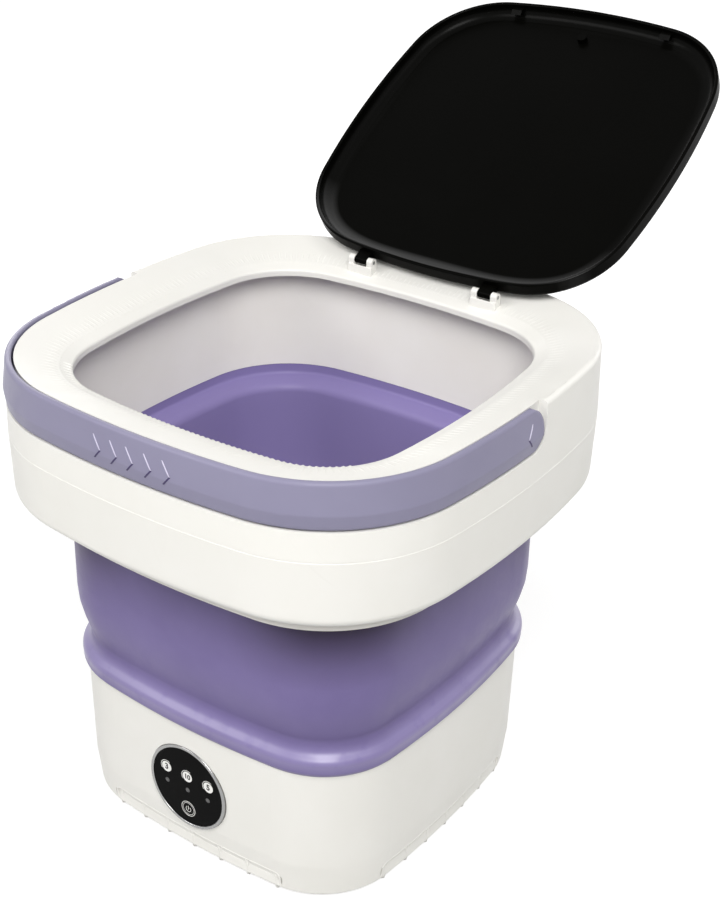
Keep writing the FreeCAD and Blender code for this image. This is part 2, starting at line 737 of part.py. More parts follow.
band = ring("foot_band", BASE, [
    (FOOT_OUT + " + (band_low - base_low) * %s - band_depth" % FOOT_SLOPE, "band_low"),
    ("base_half + band_depth", "band_low"),
    ("base_half + band_depth", "band_high"),
    (FOOT_OUT + " + (band_high - base_low) * %s - band_depth" % FOOT_SLOPE, "band_high"),
])
slots = []
for role, word in (("XZ_Plane", "front"), ("YZ_Plane", "sides")):
    slot = new_body("band_" + word)
    slot_view = sketch_on(slot, role, "band_view_" + word)
    BAND_ROUND = "(band_high - band_low) * 0.49"
    polygon(slot_view, [
        ("-band_half", "band_low", BAND_ROUND),
        ("band_half", "band_low", BAND_ROUND),
        ("band_half", "band_high", BAND_ROUND),
        ("-band_half", "band_high", BAND_ROUND),
    ])
    pad(slot, slot_view, "3 * base_half", midplane=True)
    slots.append(slot)
both = joined("Fuse", "band_views", slots[0], slots[1])
band_tool = joined("Common", "band_recess", band, both)
base_shell = joined("Cut", "base_shell", shell, band_tool)

# Bottom cover, feet and screws.
COVER_PATH = inset(BASE, "base_foot_inset + cover_lip + slide_gap")
bottom_cover = new_body("bottom_cover")
corner_places = [(x + BOSS, y + BOSS) for x in ("", "-") for y in ("", "-")]
plate(bottom_cover, "cover_plate", COVER_PATH, "base_low", "cover_wall",
      [(x, y, "screw_radius + pin_gap") for x, y in corner_places])
counter = sketch_on(bottom_cover, "XY_Plane", "cover_counterbores", "base_low")
for x, y in corner_places:
    circle(counter, x, y, "screw_head_radius + slide_gap")
pocket(bottom_cover, counter, "screw_head_height", flip=True)
vent = sketch_on(bottom_cover, "XY_Plane", "cover_vents", "base_low")
for k in range(-3, 4):
    polygon(vent, [
        ("%d * 2 * cover_wall - cover_wall / 2" % k, "-motor_radius"),
        ("%d * 2 * cover_wall + cover_wall / 2" % k, "-motor_radius"),
        ("%d * 2 * cover_wall + cover_wall / 2" % k, "motor_radius"),
        ("%d * 2 * cover_wall - cover_wall / 2" % k, "motor_radius"),
    ])
pocket(bottom_cover, vent, "cover_wall", flip=True)
cover_screws = screws("cover_screws", corner_places, "base_low + screw_head_height", up=True)
rubber_feet = new_body("rubber_feet")
rubber_feet.AllowCompound = True
feet = sketch_on(rubber_feet, "XY_Plane", "feet")
for x in ("", "-"):
    for y in ("", "-"):
        circle(feet, x + "foot_spacing", y + "foot_spacing", "foot_radius")
pad(rubber_feet, feet, "base_low")

# Wash pan: flange, sloping wall and floor.
PAN_UNDER = "(pan_floor - pan_wall)"
PAN_LAP = "(pan_floor_half - 2.5 * pan_round)"
pan = ring("tub_pan", BASE, [
    ("base_half - base_wall - slide_gap", RIM_TOP),
    ("base_half - base_wall - slide_gap", "base_top"),
    ("pan_mouth", "base_top"),
    ("pan_floor_half", "pan_floor", "pan_round"),
    (PAN_LAP, "pan_floor"),
    (PAN_LAP, PAN_UNDER),
    ("pan_floor_half - pan_wall / 2", PAN_UNDER),
    ("pan_mouth - pan_wall", RIM_TOP),
])
PAN_PATH = inset(BASE, "base_half - %s - 1" % PAN_LAP)
DRAIN_HOLE = ("-drain_side", "drain_back", "drain_radius")
HUB_HOLE = ("0", "0", "hub_radius + slide_gap")
plate(pan, "pan_plate", PAN_PATH, PAN_UNDER, "pan_wall", [HUB_HOLE, DRAIN_HOLE])

# Bearing housing below the pan: plate, hub through the pan floor and four bracket posts.
bearing_housing = new_body("bearing_housing")
HOUSING_PATH = ("bracket_half", "post_radius * 2", "bracket_half * 8")
plate(bearing_housing, "housing_plate", HOUSING_PATH, PAN_UNDER + " - housing_wall", "housing_wall",
      [("0", "0", "hub_radius - housing_wall / 2")])
revolve(bearing_housing, [
    ("bearing_radius + pin_gap", "hub_low"),
    ("hub_radius", "hub_low"),
    ("hub_radius", "hub_top"),
    ("seal_radius + pin_gap", "hub_top"),
    ("seal_radius + pin_gap", "hub_top - seal_height"),
    ("shaft_radius + shaft_room", "hub_top - seal_height"),
    ("shaft_radius + shaft_room", "hub_low + bearing_width + slide_gap"),
    ("bearing_radius + pin_gap", "hub_low + bearing_width + slide_gap"),
], "housing_hub")
posts = sketch_on(bearing_housing, "XY_Plane", "housing_posts", "hub_low")
post_places = [(x + "post_spacing", y + "post_spacing") for x in ("", "-") for y in ("", "-")]
for x, y in post_places:
    circle(posts, x, y, "post_radius")
pad(bearing_housing, posts, "%s - hub_low - housing_wall / 2" % PAN_UNDER)
post_bores = sketch_on(bearing_housing, "XY_Plane", "post_bores", "hub_low")
for x, y in post_places:
    circle(post_bores, x, y, "screw_radius + pin_gap")
pocket(bearing_housing, post_bores, "screw_length", flip=True)

# Drive: motor, gear housing, bracket, bearing, seal, shaft and pulsator.
BRACKET_LOW = "(hub_low - bracket_wall)"
BOX_LOW = "(%s - gearbox_height)" % BRACKET_LOW
motor_bracket = new_body("motor_bracket")
bracket_holes = [(x, y, "screw_radius + pin_gap") for x, y in post_places]
bracket_holes.append(("0", "0", "bearing_radius - shaft_room"))
plate(motor_bracket, "bracket_plate", HOUSING_PATH, BRACKET_LOW, "bracket_wall", bracket_holes)
bracket_screws = screws("bracket_screws", post_places, BRACKET_LOW, up=True)
gearbox = turned("gearbox", [
    ("shaft_radius + pin_gap", BOX_LOW + " + gearbox_height / 4"),
    ("shaft_radius + pin_gap", BRACKET_LOW),
    ("gearbox_radius", BRACKET_LOW),
    ("gearbox_radius", BOX_LOW),
    ("0", BOX_LOW),
    ("0", BOX_LOW + " + gearbox_height / 4"),
])
MOTOR_LOW = "(base_low + cover_wall + motor_clear)"
motor = turned("motor", [
    ("0", BOX_LOW),
    ("motor_radius", BOX_LOW),
    ("motor_radius", MOTOR_LOW + " + motor_edge"),
    ("motor_radius - motor_edge", MOTOR_LOW),
    ("0", MOTOR_LOW),
])
shaft_bearing = turned("shaft_bearing", [
    ("shaft_radius + pin_gap", "hub_low"),
    ("bearing_radius", "hub_low"),
    ("bearing_radius", "hub_low + bearing_width"),
    ("shaft_radius + pin_gap", "hub_low + bearing_width"),
])
shaft_seal = turned("shaft_seal", [
    ("shaft_radius + pin_gap", "hub_top - seal_height"),
    ("seal_radius", "hub_top - seal_height"),
    ("seal_radius", "hub_top"),
    ("shaft_radius + pin_gap", "hub_top"),
])
drive_shaft = turned("drive_shaft", [
    ("0", BOX_LOW + " + gearbox_height / 4 + slide_gap"),
    ("shaft_radius", BOX_LOW + " + gearbox_height / 4 + slide_gap"),
    ("shaft_radius", "shaft_top"),
    ("0", "shaft_top"),
])
DISC_LOW = "(hub_top + pulsator_clear)"
DISC_TOP = "(%s + pulsator_rim)" % DISC_LOW
CONE_TOP = "(%s + pulsator_rise)" % DISC_LOW
pulsator = turned("pulsator", [
    ("shaft_radius + pin_gap", DISC_LOW),
    ("pulsator_radius", DISC_LOW),
    ("pulsator_radius", DISC_TOP, "pulsator_rim * 0.6"),
    ("pulsator_hub + cap_radius", DISC_TOP + " + pulsator_rim", "pulsator_foot_round"),
    ("pulsator_hub", CONE_TOP, "pulsator_top_round"),
    ("cap_radius + slide_gap", CONE_TOP),
    ("cap_radius + slide_gap", "shaft_top"),
    ("shaft_radius + pin_gap", "shaft_top"),
])
vane = sketch_on(pulsator, "XY_Plane", "vane", DISC_TOP + " - vane_root")
polygon(vane, [
    ("pulsator_hub - vane_sink", "-vane_width / 2"),
    ("pulsator_radius - vane_inset", "-vane_width / 3", "vane_width / 4"),
    ("pulsator_radius - vane_inset", "vane_width / 3", "vane_width / 4"),
    ("pulsator_hub - vane_sink", "vane_width / 2"),
])
around(pulsator, pad(pulsator, vane, "vane_height"), "vane_count")
pulsator_cap = turned("pulsator_cap", [
    ("0", "shaft_top"),
    ("cap_radius", "shaft_top"),
    ("cap_radius", "shaft_top + cap_height / 2"),
    ("cap_radius - cap_height / 2", "shaft_top + cap_height"),
    ("0", "shaft_top + cap_height"),
])

# Drain: strainer, elbow to the back wall and a pull-out plug.
strainer = turned("drain_strainer", [
    ("0", "pan_floor"),
    ("strainer_radius", "pan_floor"),
    ("strainer_radius - strainer_height", "pan_floor + strainer_height"),
    ("0", "pan_floor + strainer_height"),
])
holes = sketch_on(strainer, "XY_Plane", "strainer_holes", "pan_floor")
circle(holes, "strainer_radius / 2", "0", "strainer_radius / 7")
around(strainer, pocket(strainer, holes, "2 * strainer_height", flip=True), "6")
bind(strainer, Placement__Base__x="-drain_side", Placement__Base__y="drain_back")
elbow = new_body("drain_elbow")
route = sketch_on(elbow, "YZ_Plane", "elbow_route", "-drain_side")
SPOUT_START = "(base_half + drain_step)"
SPOUT_END = "(base_half + drain_step + drain_reach)"
SPOUT_RADIUS = "(drain_radius - drain_step)"
SPOUT_BORE = "(drain_radius - drain_step - drain_wall)"
top_line = Part.LineSegment(FreeCAD.Vector(number("drain_back"), number(PAN_UNDER), 0),
                            FreeCAD.Vector(number("drain_back"), number("drain_height + drain_bend"), 0))
bend_at = (number("drain_back + drain_bend"), number("drain_height + drain_bend"))
bend_arc = arc(bend_at, number("drain_bend"), math.pi, 1.5 * math.pi)
end_line = Part.LineSegment(FreeCAD.Vector(number("drain_back + drain_bend"), number("drain_height"), 0),
                            FreeCAD.Vector(number(SPOUT_START), number("drain_height"), 0))
route.addGeometry([top_line, bend_arc, end_line], False)
constrain(route, [
    (Sketcher.Constraint("Tangent", 0, 2, 1, 1), None),
    (Sketcher.Constraint("Tangent", 1, 2, 2, 1), None),
    (Sketcher.Constraint("Vertical", 0), None),
    (Sketcher.Constraint("Horizontal", 2), None),
    (Sketcher.Constraint("Radius", 1, number("drain_bend")), "drain_bend"),
    (Sketcher.Constraint("DistanceX", -1, 1, 0, 1, number("drain_back")), "drain_back"),
    (Sketcher.Constraint("DistanceY", -1, 1, 0, 1, number(PAN_UNDER)), PAN_UNDER),
    (Sketcher.Constraint("DistanceX", -1, 1, 2, 2, number(SPOUT_START)), SPOUT_START),
    (Sketcher.Constraint("DistanceY", -1, 1, 2, 2, number("drain_height")), "drain_height"),
])
tube = sketch_on(elbow, "XY_Plane", "elbow_tube", PAN_UNDER)
circle(tube, "-drain_side", "drain_back", "drain_radius")
circle(tube, "-drain_side", "drain_back", "drain_radius - drain_wall")
tube_sweep = elbow.newObject("PartDesign::AdditivePipe", "elbow_sweep")
tube_sweep.Profile = tube
tube_sweep.Spine = (route, [])
spout = sketch_on(elbow, "XZ_Plane", "drain_spout", "drain_step - %s" % SPOUT_START)
circle(spout, "-drain_side", "drain_height", SPOUT_RADIUS)
circle(spout, "-drain_side", "drain_height", SPOUT_BORE)
pad(elbow, spout, "drain_reach + drain_step", flip=True)
drain_plug = turned("drain_plug", [
    ("0", SPOUT_END + " - plug_depth"),
    (SPOUT_BORE + " - 2 * slide_gap", SPOUT_END + " - plug_depth"),
    (SPOUT_BORE + " - slide_gap", SPOUT_END + " + slide_gap"),
    (SPOUT_RADIUS + " - slide_gap", SPOUT_END + " + slide_gap"),
    (SPOUT_RADIUS + " - slide_gap", SPOUT_END + " + slide_gap + plug_head * 0.75"),
    (SPOUT_RADIUS + " - plug_head / 4", SPOUT_END + " + slide_gap + plug_head"),
    ("0", SPOUT_END + " + slide_gap + plug_head"),
])
BACKWARD = FreeCAD.Rotation(FreeCAD.Vector(1, 0, 0), -90)
FORWARD = FreeCAD.Rotation(FreeCAD.Vector(1, 0, 0), 90)
drain_plug.Placement = FreeCAD.Placement(FreeCAD.Vector(), BACKWARD)
bind(drain_plug, Placement__Base__x="-drain_side", Placement__Base__z="drain_height")
inlet = new_body("power_inlet")
INLET_FACE = "(base_half - inlet_flange / 2)"


def inlet_box(name, extra, start, length):
    view = sketch_on(inlet, "XZ_Plane", name, "-(%s)" % start)
    x, z = "(inlet_width / 2 + %s)" % extra, "(inlet_tall / 2 + %s)" % extra
    polygon(view, [
        ("inlet_side - " + x, "inlet_height - " + z),
        ("inlet_side + " + x, "inlet_height - " + z),
        ("inlet_side + " + x, "inlet_height + " + z),
        ("inlet_side - " + x, "inlet_height + " + z),
    ])
    return pad(inlet, view, length, flip=True)


inlet_box("inlet_body", "0", INLET_FACE + " - inlet_depth", "inlet_depth")
inlet_box("inlet_face", "inlet_flange", INLET_FACE, "inlet_flange")
jack = sketch_on(inlet, "XZ_Plane", "jack_hole", "-(%s + inlet_flange)" % INLET_FACE)
circle(jack, "inlet_side", "inlet_height", "jack_radius")
circle(jack, "inlet_side", "inlet_height", "jack_pin_radius")
pocket(inlet, jack, "jack_depth", flip=True)

# Control panel: bezel, dark face and circuit board, turned to face forward.
PANEL_BACK = "(bezel_front - panel_sink - panel_thick)"
BEZEL_BACK = "(bezel_front - bezel_depth)"
BEZEL_IN = "(panel_radius - bezel_width)"
panel_bezel = turned("panel_bezel", [
    (BEZEL_IN, "bezel_front", "0.6"),
    (BEZEL_IN, PANEL_BACK),
    (BEZEL_IN + " - bezel_lip", PANEL_BACK),
    (BEZEL_IN + " - bezel_lip", PANEL_BACK + " - bezel_width"),
    (BEZEL_IN, PANEL_BACK + " - bezel_width"),
    (BEZEL_IN, BEZEL_BACK),
    ("panel_radius + bezel_flange", BEZEL_BACK),
    ("panel_radius + bezel_flange", BEZEL_BACK + " + bezel_width"),
    ("panel_radius", BEZEL_BACK + " + bezel_width"),
    ("panel_radius", "bezel_front", "0.9"),
])
panel_cover = turned("panel_cover", [
    ("0", PANEL_BACK),
    (BEZEL_IN + " - slide_gap", PANEL_BACK),
    (BEZEL_IN + " - slide_gap", PANEL_BACK + " + panel_thick"),
    ("0", PANEL_BACK + " + panel_thick"),
])
control_board = turned("control_board", [
    ("0", BEZEL_BACK + " - board_thick"),
    ("panel_radius", BEZEL_BACK + " - board_thick"),
    ("panel_radius", BEZEL_BACK),
    ("0", BEZEL_BACK),
])
for piece in (panel_bezel, panel_cover, control_board):
    piece.Placement = FreeCAD.Placement(FreeCAD.Vector(), FORWARD)
    bind(piece, Placement__Base__z="panel_height")

# Lid: shallow tray with hinge knuckles, drawn closed and then turned open.
RIM_BOTTOM = "(%s + lid_seat_gap)" % LIP_TOP
LID_TOP = "(%s + lid_rim)" % RIM_BOTTOM
LID_LAP = "(lid_half - 3 * lid_round)"
lid = ring("lid", LID, [
    ("lid_half", RIM_BOTTOM, "lid_edge"),
    ("lid_half", LID_TOP, "lid_round"),
    (LID_LAP, LID_TOP),
    (LID_LAP, LID_TOP + " - lid_wall"),
    ("lid_half - lid_wall - lid_edge", LID_TOP + " - lid_wall", "lid_cove"),
    ("lid_half - lid_wall", RIM_BOTTOM, "lid_edge"),
])
plate(lid, "lid_plate", inset(LID, "lid_half - %s - 1" % LID_LAP), LID_TOP + " - lid_wall", "lid_wall")
KNUCKLE_END = "(hinge_spacing + knuckle_width / 2)"
KNUCKLE_IN = "(lid_half - lid_side + sqrt(lid_side ^ 2 - %s ^ 2) - lid_wall / 2)" % KNUCKLE_END
for index, side in enumerate(("-1", "1")):
    knuckle_at = "%s * hinge_spacing - knuckle_width / 2" % side
    knuckle = sketch_on(lid, "YZ_Plane", "knuckle_%d" % index, knuckle_at)
    polygon(knuckle, [
        (KNUCKLE_IN, HINGE_Z + " - knuckle_radius"),
        (HINGE_Y + " + knuckle_radius", HINGE_Z + " - knuckle_radius", "knuckle_radius * 0.98"),
        (HINGE_Y + " + knuckle_radius", HINGE_Z + " + knuckle_radius", "knuckle_radius * 0.98"),
        (KNUCKLE_IN, HINGE_Z + " + knuckle_radius"),
    ])
    pad(lid, knuckle, "knuckle_width")
knuckle_bore = sketch_on(lid, "YZ_Plane", "knuckle_bore")
circle(knuckle_bore, HINGE_Y, HINGE_Z, "hinge_pin_radius + pin_gap")
pocket(lid, knuckle_bore, "2 * %s" % EAR_SPAN, midplane=True)
catch = sketch_on(lid, "XY_Plane", "lid_catch", LID_TOP + " - lid_wall - catch_height")
circle(catch, "0", "catch_inset - lid_half", "catch_radius")
pad(lid, catch, "catch_height + lid_wall / 2")
lid.Placement = FreeCAD.Placement(FreeCAD.Vector(), FreeCAD.Rotation(FreeCAD.Vector(-1, 0, 0), 148.6))
bind(
    lid,
    Placement__Rotation__Angle="lid_open_angle",
    Placement__Base__y="%s * (1 - cos(lid_open_angle)) - %s * sin(lid_open_angle)" % (HINGE_Y, HINGE_Z),
    Placement__Base__z="%s * (1 - cos(lid_open_angle)) + %s * sin(lid_open_angle)" % (HINGE_Z, HINGE_Y),
)
hinge_rods = []
EAR_INNER = "(hinge_spacing - knuckle_width / 2 - ear_gap - ear_width)"
for word, start, end in (("left", "-" + EAR_SPAN, "-" + EAR_INNER), ("right", EAR_INNER, EAR_SPAN)):
    hinge_rods.append(rod("hinge_rod_" + word, "hinge_pin_radius", start, end, HINGE_Y, HINGE_Z))
hinge_pins = group("hinge_pins", hinge_rods)

doc.recompute()

NODES = [
    base_shell, bottom_cover, cover_screws, rubber_feet, pan, bellows, lower_clamp, bearing_housing,
    motor_bracket, bracket_screws, gearbox, motor, shaft_bearing, shaft_seal, drive_shaft, pulsator,
    pulsator_cap, strainer, elbow, drain_plug, inlet, panel_bezel, panel_cover, control_board, top_frame,
    collar_skirt, tub_liner, upper_clamp, handle_pins, handle, hinge_pins, lid,
]
for thing in doc.Objects:
    bad = [word for word in thing.State if word in ("Invalid", "Error")]
    if bad:
        raise RuntimeError("%s is %s" % (thing.Name, bad))
os.makedirs("parts", exist_ok=True)
for node in NODES:
    if node.Shape.isNull() or not node.Shape.isValid():
        raise RuntimeError(node.Label + " has no valid shape")
    node.Shape.exportStep("parts/%s.step" % node.Label)
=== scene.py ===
import json
import math

import bmesh
import bpy
import numpy as np
from mathutils import Matrix, Vector


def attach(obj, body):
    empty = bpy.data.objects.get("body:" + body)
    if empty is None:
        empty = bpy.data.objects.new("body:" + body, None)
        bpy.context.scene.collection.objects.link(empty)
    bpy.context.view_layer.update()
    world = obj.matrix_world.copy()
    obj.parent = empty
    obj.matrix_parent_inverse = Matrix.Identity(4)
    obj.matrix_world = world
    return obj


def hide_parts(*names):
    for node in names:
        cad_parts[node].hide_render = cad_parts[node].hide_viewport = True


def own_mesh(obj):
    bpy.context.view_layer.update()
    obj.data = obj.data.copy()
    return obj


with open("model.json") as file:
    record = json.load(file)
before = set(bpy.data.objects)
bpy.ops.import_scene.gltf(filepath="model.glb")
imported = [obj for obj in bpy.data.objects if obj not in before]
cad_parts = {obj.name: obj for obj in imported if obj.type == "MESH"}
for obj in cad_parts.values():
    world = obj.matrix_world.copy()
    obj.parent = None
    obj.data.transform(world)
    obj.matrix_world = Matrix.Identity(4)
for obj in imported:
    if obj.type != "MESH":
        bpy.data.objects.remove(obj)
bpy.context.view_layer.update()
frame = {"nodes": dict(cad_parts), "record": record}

MM = 0.001

# Sizes of the washer that the finishing pieces share with its solids, in millimetres.
COLLAR_HALF, COLLAR_CORNER, COLLAR_SIDE = 167.5, 98.5, 650.0
COLLAR_TRAVEL, SEAM_Z = 124.0, 285.0
BASE_HALF, BASE_SIDE = 127.0, 725.0
BASE_TOP, BASE_LOW, BASE_DRAFT = 104.0, 2.0, 1.2
FOOT_INSET, FOOT_TURN = 4.0, 28.0
LIP_EDGE, LIP_EDGE_Z = 124.2, 321.4
LIP_TOP, LIP_TOP_Z, RING_SLOPE = 132.7, 325.0, 9.5 / 33.4
HINGE_Y, HINGE_Z, HINGE_SPACING = 132.55, 333.4, 51.0
LID_TOP, LID_OPEN = 338.6, 148.6
HANDLE_LOW, HANDLE_BELLY, HANDLE_TOP = 305.0, 319.5 - 29.0 / 6, 334.0
PANEL_Z, PANEL_FACE = 55.0, -126.6


def linear(red, green, blue):
    """A colour written as 0 to 255 display values, as the shader wants it."""
    values = [c / 255 for c in (red, green, blue)]
    return [c / 12.92 if c <= 0.04045 else ((c + 0.055) / 1.055) ** 2.4 for c in values] + [1.0]


def bearing(azimuth, elevation):
    """The direction that is turned so far from the front and raised so far, in degrees."""
    around, above = math.radians(azimuth), math.radians(elevation)
    level = math.cos(above)
    return Vector((math.sin(around) * level, -math.cos(around) * level, math.sin(above)))


def add_object(name, data):
    made = bpy.data.objects.new(name, data)
    bpy.context.scene.collection.objects.link(made)
    return made


# Camera, at the height and angle from which the washer is seen.

CAMERA_AZIMUTH, CAMERA_ELEVATION, CAMERA_ROLL = 37.27, 28.11, 0.28
CAMERA_DISTANCE, CAMERA_TARGET_Z = 1.06616, 0.2555
FOCAL_PIXELS, CENTRE_X, CENTRE_Y = 1624.27, 305.55, 447.52
IMAGE_WIDTH, IMAGE_HEIGHT = 723, 900
SENSOR_WIDTH, CLIP_START, CLIP_END = 36.0, 0.01, 50


def make_camera():
    data = bpy.data.cameras.new("studio_camera")
    camera = add_object("studio_camera", data)
    azimuth = math.radians(CAMERA_AZIMUTH)
    back = bearing(CAMERA_AZIMUTH, CAMERA_ELEVATION)
    right = Vector((math.cos(azimuth), math.sin(azimuth), 0))
    up = back.cross(right)
    turn = Matrix((right, up, back)).transposed()
    roll = Matrix.Rotation(math.radians(CAMERA_ROLL), 3, "Z")
    place = Vector((0, 0, CAMERA_TARGET_Z)) + back * CAMERA_DISTANCE
    camera.matrix_world = Matrix.Translation(place) @ (turn @ roll).to_4x4()
    data.sensor_fit = "AUTO"
    data.sensor_width = SENSOR_WIDTH
    data.lens = FOCAL_PIXELS / IMAGE_HEIGHT * SENSOR_WIDTH
    data.shift_x = (IMAGE_WIDTH / 2 - CENTRE_X) / IMAGE_HEIGHT
    data.shift_y = (CENTRE_Y - IMAGE_HEIGHT / 2) / IMAGE_HEIGHT
    data.clip_start, data.clip_end = CLIP_START, CLIP_END
    bpy.context.scene.camera = camera


# Helpers for shader and geometry nodes.

MIX_FACTOR, MIX_FIRST, MIX_SECOND, MIX_RESULT = 0, 6, 7, 2


def feed(tree, socket, value):
    """Links a socket to another node's output, or sets it to a constant."""
    if isinstance(value, bpy.types.NodeSocket):
        tree.links.new(value, socket)
    else:
        socket.default_value = value


def math_node(tree, operation, *values, clamp=False):
    node = tree.nodes.new("ShaderNodeMath")
    node.operation = operation
    node.use_clamp = clamp
    for socket, value in zip(node.inputs, values):
        feed(tree, socket, value)
    return node.outputs[0]


def times(tree, first, second):
    return math_node(tree, "MULTIPLY", first, second)


def spread(tree, value, low, high):
    """The value stretched so that low becomes 0 and high becomes 1."""
    node = tree.nodes.new("ShaderNodeMapRange")
    node.clamp = True
    tree.links.new(value, node.inputs["Value"])
    node.inputs["From Min"].default_value = low
    node.inputs["From Max"].default_value = high
    return node.outputs["Result"]


def noise(tree, place, scale, detail, roughness=0.5, distortion=0.0):
    node = tree.nodes.new("ShaderNodeTexNoise")
    for label, value in (("Vector", place), ("Scale", scale), ("Detail", detail),
                         ("Roughness", roughness), ("Distortion", distortion)):
        feed(tree, node.inputs[label], value)
    return node.outputs["Fac"]


def mix_colour(tree, factor, first, second):
    node = tree.nodes.new("ShaderNodeMix")
    node.data_type = "RGBA"
    for index, value in ((MIX_FACTOR, factor), (MIX_FIRST, first), (MIX_SECOND, second)):
        feed(tree, node.inputs[index], value)
    return node.outputs[MIX_RESULT]


def object_place(tree):
    return tree.nodes.new("ShaderNodeTexCoord").outputs["Object"]


def object_axes(tree):
    """The object coordinates one by one, as outputs X, Y and Z."""
    parts = tree.nodes.new("ShaderNodeSeparateXYZ")
    tree.links.new(object_place(tree), parts.inputs[0])
    return parts.outputs


# Floor, white surround and studio lamps.

WHITE = (1, 1, 1, 1)
SURROUND_LEVEL, SURROUND_COLOUR = 0.2, (1.0, 0.992, 0.98, 1)
FLOOR_REACH = 12.0
FLOOR_LIT, FLOOR_SHADOWED = (0.62, 0.62, 0.612, 1), (0.36, 0.36, 0.36, 1)
# The floor that is seen glows from one level at the washer to plain white further out.
FLOOR_GLOW = {"From Min": 0.3, "From Max": 1.1, "To Min": 0.74, "To Max": 1.0}
LAMP_AIM, LAMP_COLOUR = Vector((0, 0, 0.2)), (1.0, 0.992, 0.978)
# Bearing from the front, height, distance, size and power of each lamp.
LAMPS = (
    ("front_left_softbox", -36.0, 36.0, 2.0, 1.0, 13.2),
    ("high_front_softbox", 38.0, 46.0, 2.0, 1.0, 31.0),
    ("right_softbox", 86.0, 50.0, 2.0, 1.0, 5.4),
    ("rear_right_fill", 165.0, 18.0, 2.2, 1.1, 10.5),
    ("rear_left_fill", -125.0, 18.0, 2.2, 1.1, 9.5),
)


def seen_rays(tree):
    """1 for camera, glossy and transmitted rays, which see the surround as plain white."""
    path = tree.nodes.new("ShaderNodeLightPath").outputs
    direct = math_node(tree, "MAXIMUM", path["Is Camera Ray"], path["Is Glossy Ray"])
    return math_node(tree, "MAXIMUM", direct, path["Is Transmission Ray"])


def mix_by_ray(tree, lighting, seen, out):
    """Puts out one shader for the rays that carry light and another for those that are seen."""
    mix = tree.nodes.new("ShaderNodeMixShader")
    for socket, value in zip(mix.inputs, (seen_rays(tree), lighting, seen)):
        tree.links.new(value, socket)
    tree.links.new(mix.outputs[0], out.inputs[0])


def make_surround():
    scene = bpy.context.scene
    scene.view_settings.view_transform = "Standard"
    scene.world = bpy.data.worlds.new("white_surround")
    scene.world.use_nodes = True
    tree = scene.world.node_tree
    tree.nodes.clear()
    shades = []
    for colour, strength in ((SURROUND_COLOUR, SURROUND_LEVEL), (WHITE, 1.0)):
        shade = tree.nodes.new("ShaderNodeBackground")
        shade.inputs["Color"].default_value = colour
        shade.inputs["Strength"].default_value = strength
        shades.append(shade.outputs[0])
    mix_by_ray(tree, *shades, tree.nodes.new("ShaderNodeOutputWorld"))


def make_floor():
    mesh = bpy.data.meshes.new("studio_floor")
    corners = ((-1, -1), (1, -1), (1, 1), (-1, 1))
    verts = [(x * FLOOR_REACH, y * FLOOR_REACH, 0) for x, y in corners]
    mesh.from_pydata(verts, [], [(0, 1, 2, 3)])
    floor = add_object("studio_floor", mesh)
    paint = bpy.data.materials.new("pale_floor")
    paint.use_nodes = True
    tree = paint.node_tree
    nodes, links = tree.nodes, tree.links
    nodes.clear()
    lit = nodes.new("ShaderNodeBsdfDiffuse")
    lit.inputs["Color"].default_value = FLOOR_LIT
    shadowed = nodes.new("ShaderNodeBsdfDiffuse")
    shadowed.inputs["Color"].default_value = FLOOR_SHADOWED
    from_middle = nodes.new("ShaderNodeVectorMath")
    from_middle.operation = "LENGTH"
    links.new(object_place(tree), from_middle.inputs[0])
    rising = nodes.new("ShaderNodeMapRange")
    for label, value in FLOOR_GLOW.items():
        rising.inputs[label].default_value = value
    links.new(from_middle.outputs["Value"], rising.inputs["Value"])
    glow = nodes.new("ShaderNodeEmission")
    links.new(rising.outputs["Result"], glow.inputs["Strength"])
    shown = nodes.new("ShaderNodeAddShader")
    links.new(shadowed.outputs[0], shown.inputs[0])
    links.new(glow.outputs[0], shown.inputs[1])
    mix_by_ray(tree, lit.outputs[0], shown.outputs[0], nodes.new("ShaderNodeOutputMaterial"))
    mesh.materials.append(paint)


def make_lamps():
    for name, azimuth, elevation, distance, size, power in LAMPS:
        lamp = bpy.data.lights.new(name, "AREA")
        lamp.shape = "DISK"
        lamp.size, lamp.energy, lamp.color = size, power, LAMP_COLOUR
        out = bearing(azimuth, elevation)
        turn = (-out).to_track_quat("-Z", "Y").to_matrix().to_4x4()
        add_object(name, lamp).matrix_world = Matrix.Translation(LAMP_AIM + out * distance) @ turn


# Shader groups for the effects that several finishes share.

COARSE_GRAIN, FINE_SHARE, COARSE_SHARE = 0.23, 0.7, 0.3
DRIFT_RANGE, HAZE_RANGE = (0.3, 0.7), (0.32, 0.68)
HAIRLINE_TURNS, HAIRLINE_RANGE = ((0.3, 0.5, 0.4), (1.2, -0.4, 2.1)), (0.66, 0.74)
PATCH_SCALE, PATCH_RANGE = 16.0, (0.5, 0.66)
EDGE_SAMPLES, EDGE_BEND = 4, (0.02, 0.22)
EDGE_BREAK_SCALE, EDGE_BREAK_RANGE = 220.0, (0.35, 0.6)


def new_group(name, inputs, outputs):
    group = bpy.data.node_groups.new(name, "ShaderNodeTree")
    for label, value in inputs:
        socket = group.interface.new_socket(label, in_out="INPUT", socket_type="NodeSocketFloat")
        socket.default_value = value
    for label in outputs:
        group.interface.new_socket(label, in_out="OUTPUT", socket_type="NodeSocketFloat")
    given = group.nodes.new("NodeGroupInput").outputs
    return group, given, group.nodes.new("NodeGroupOutput").inputs


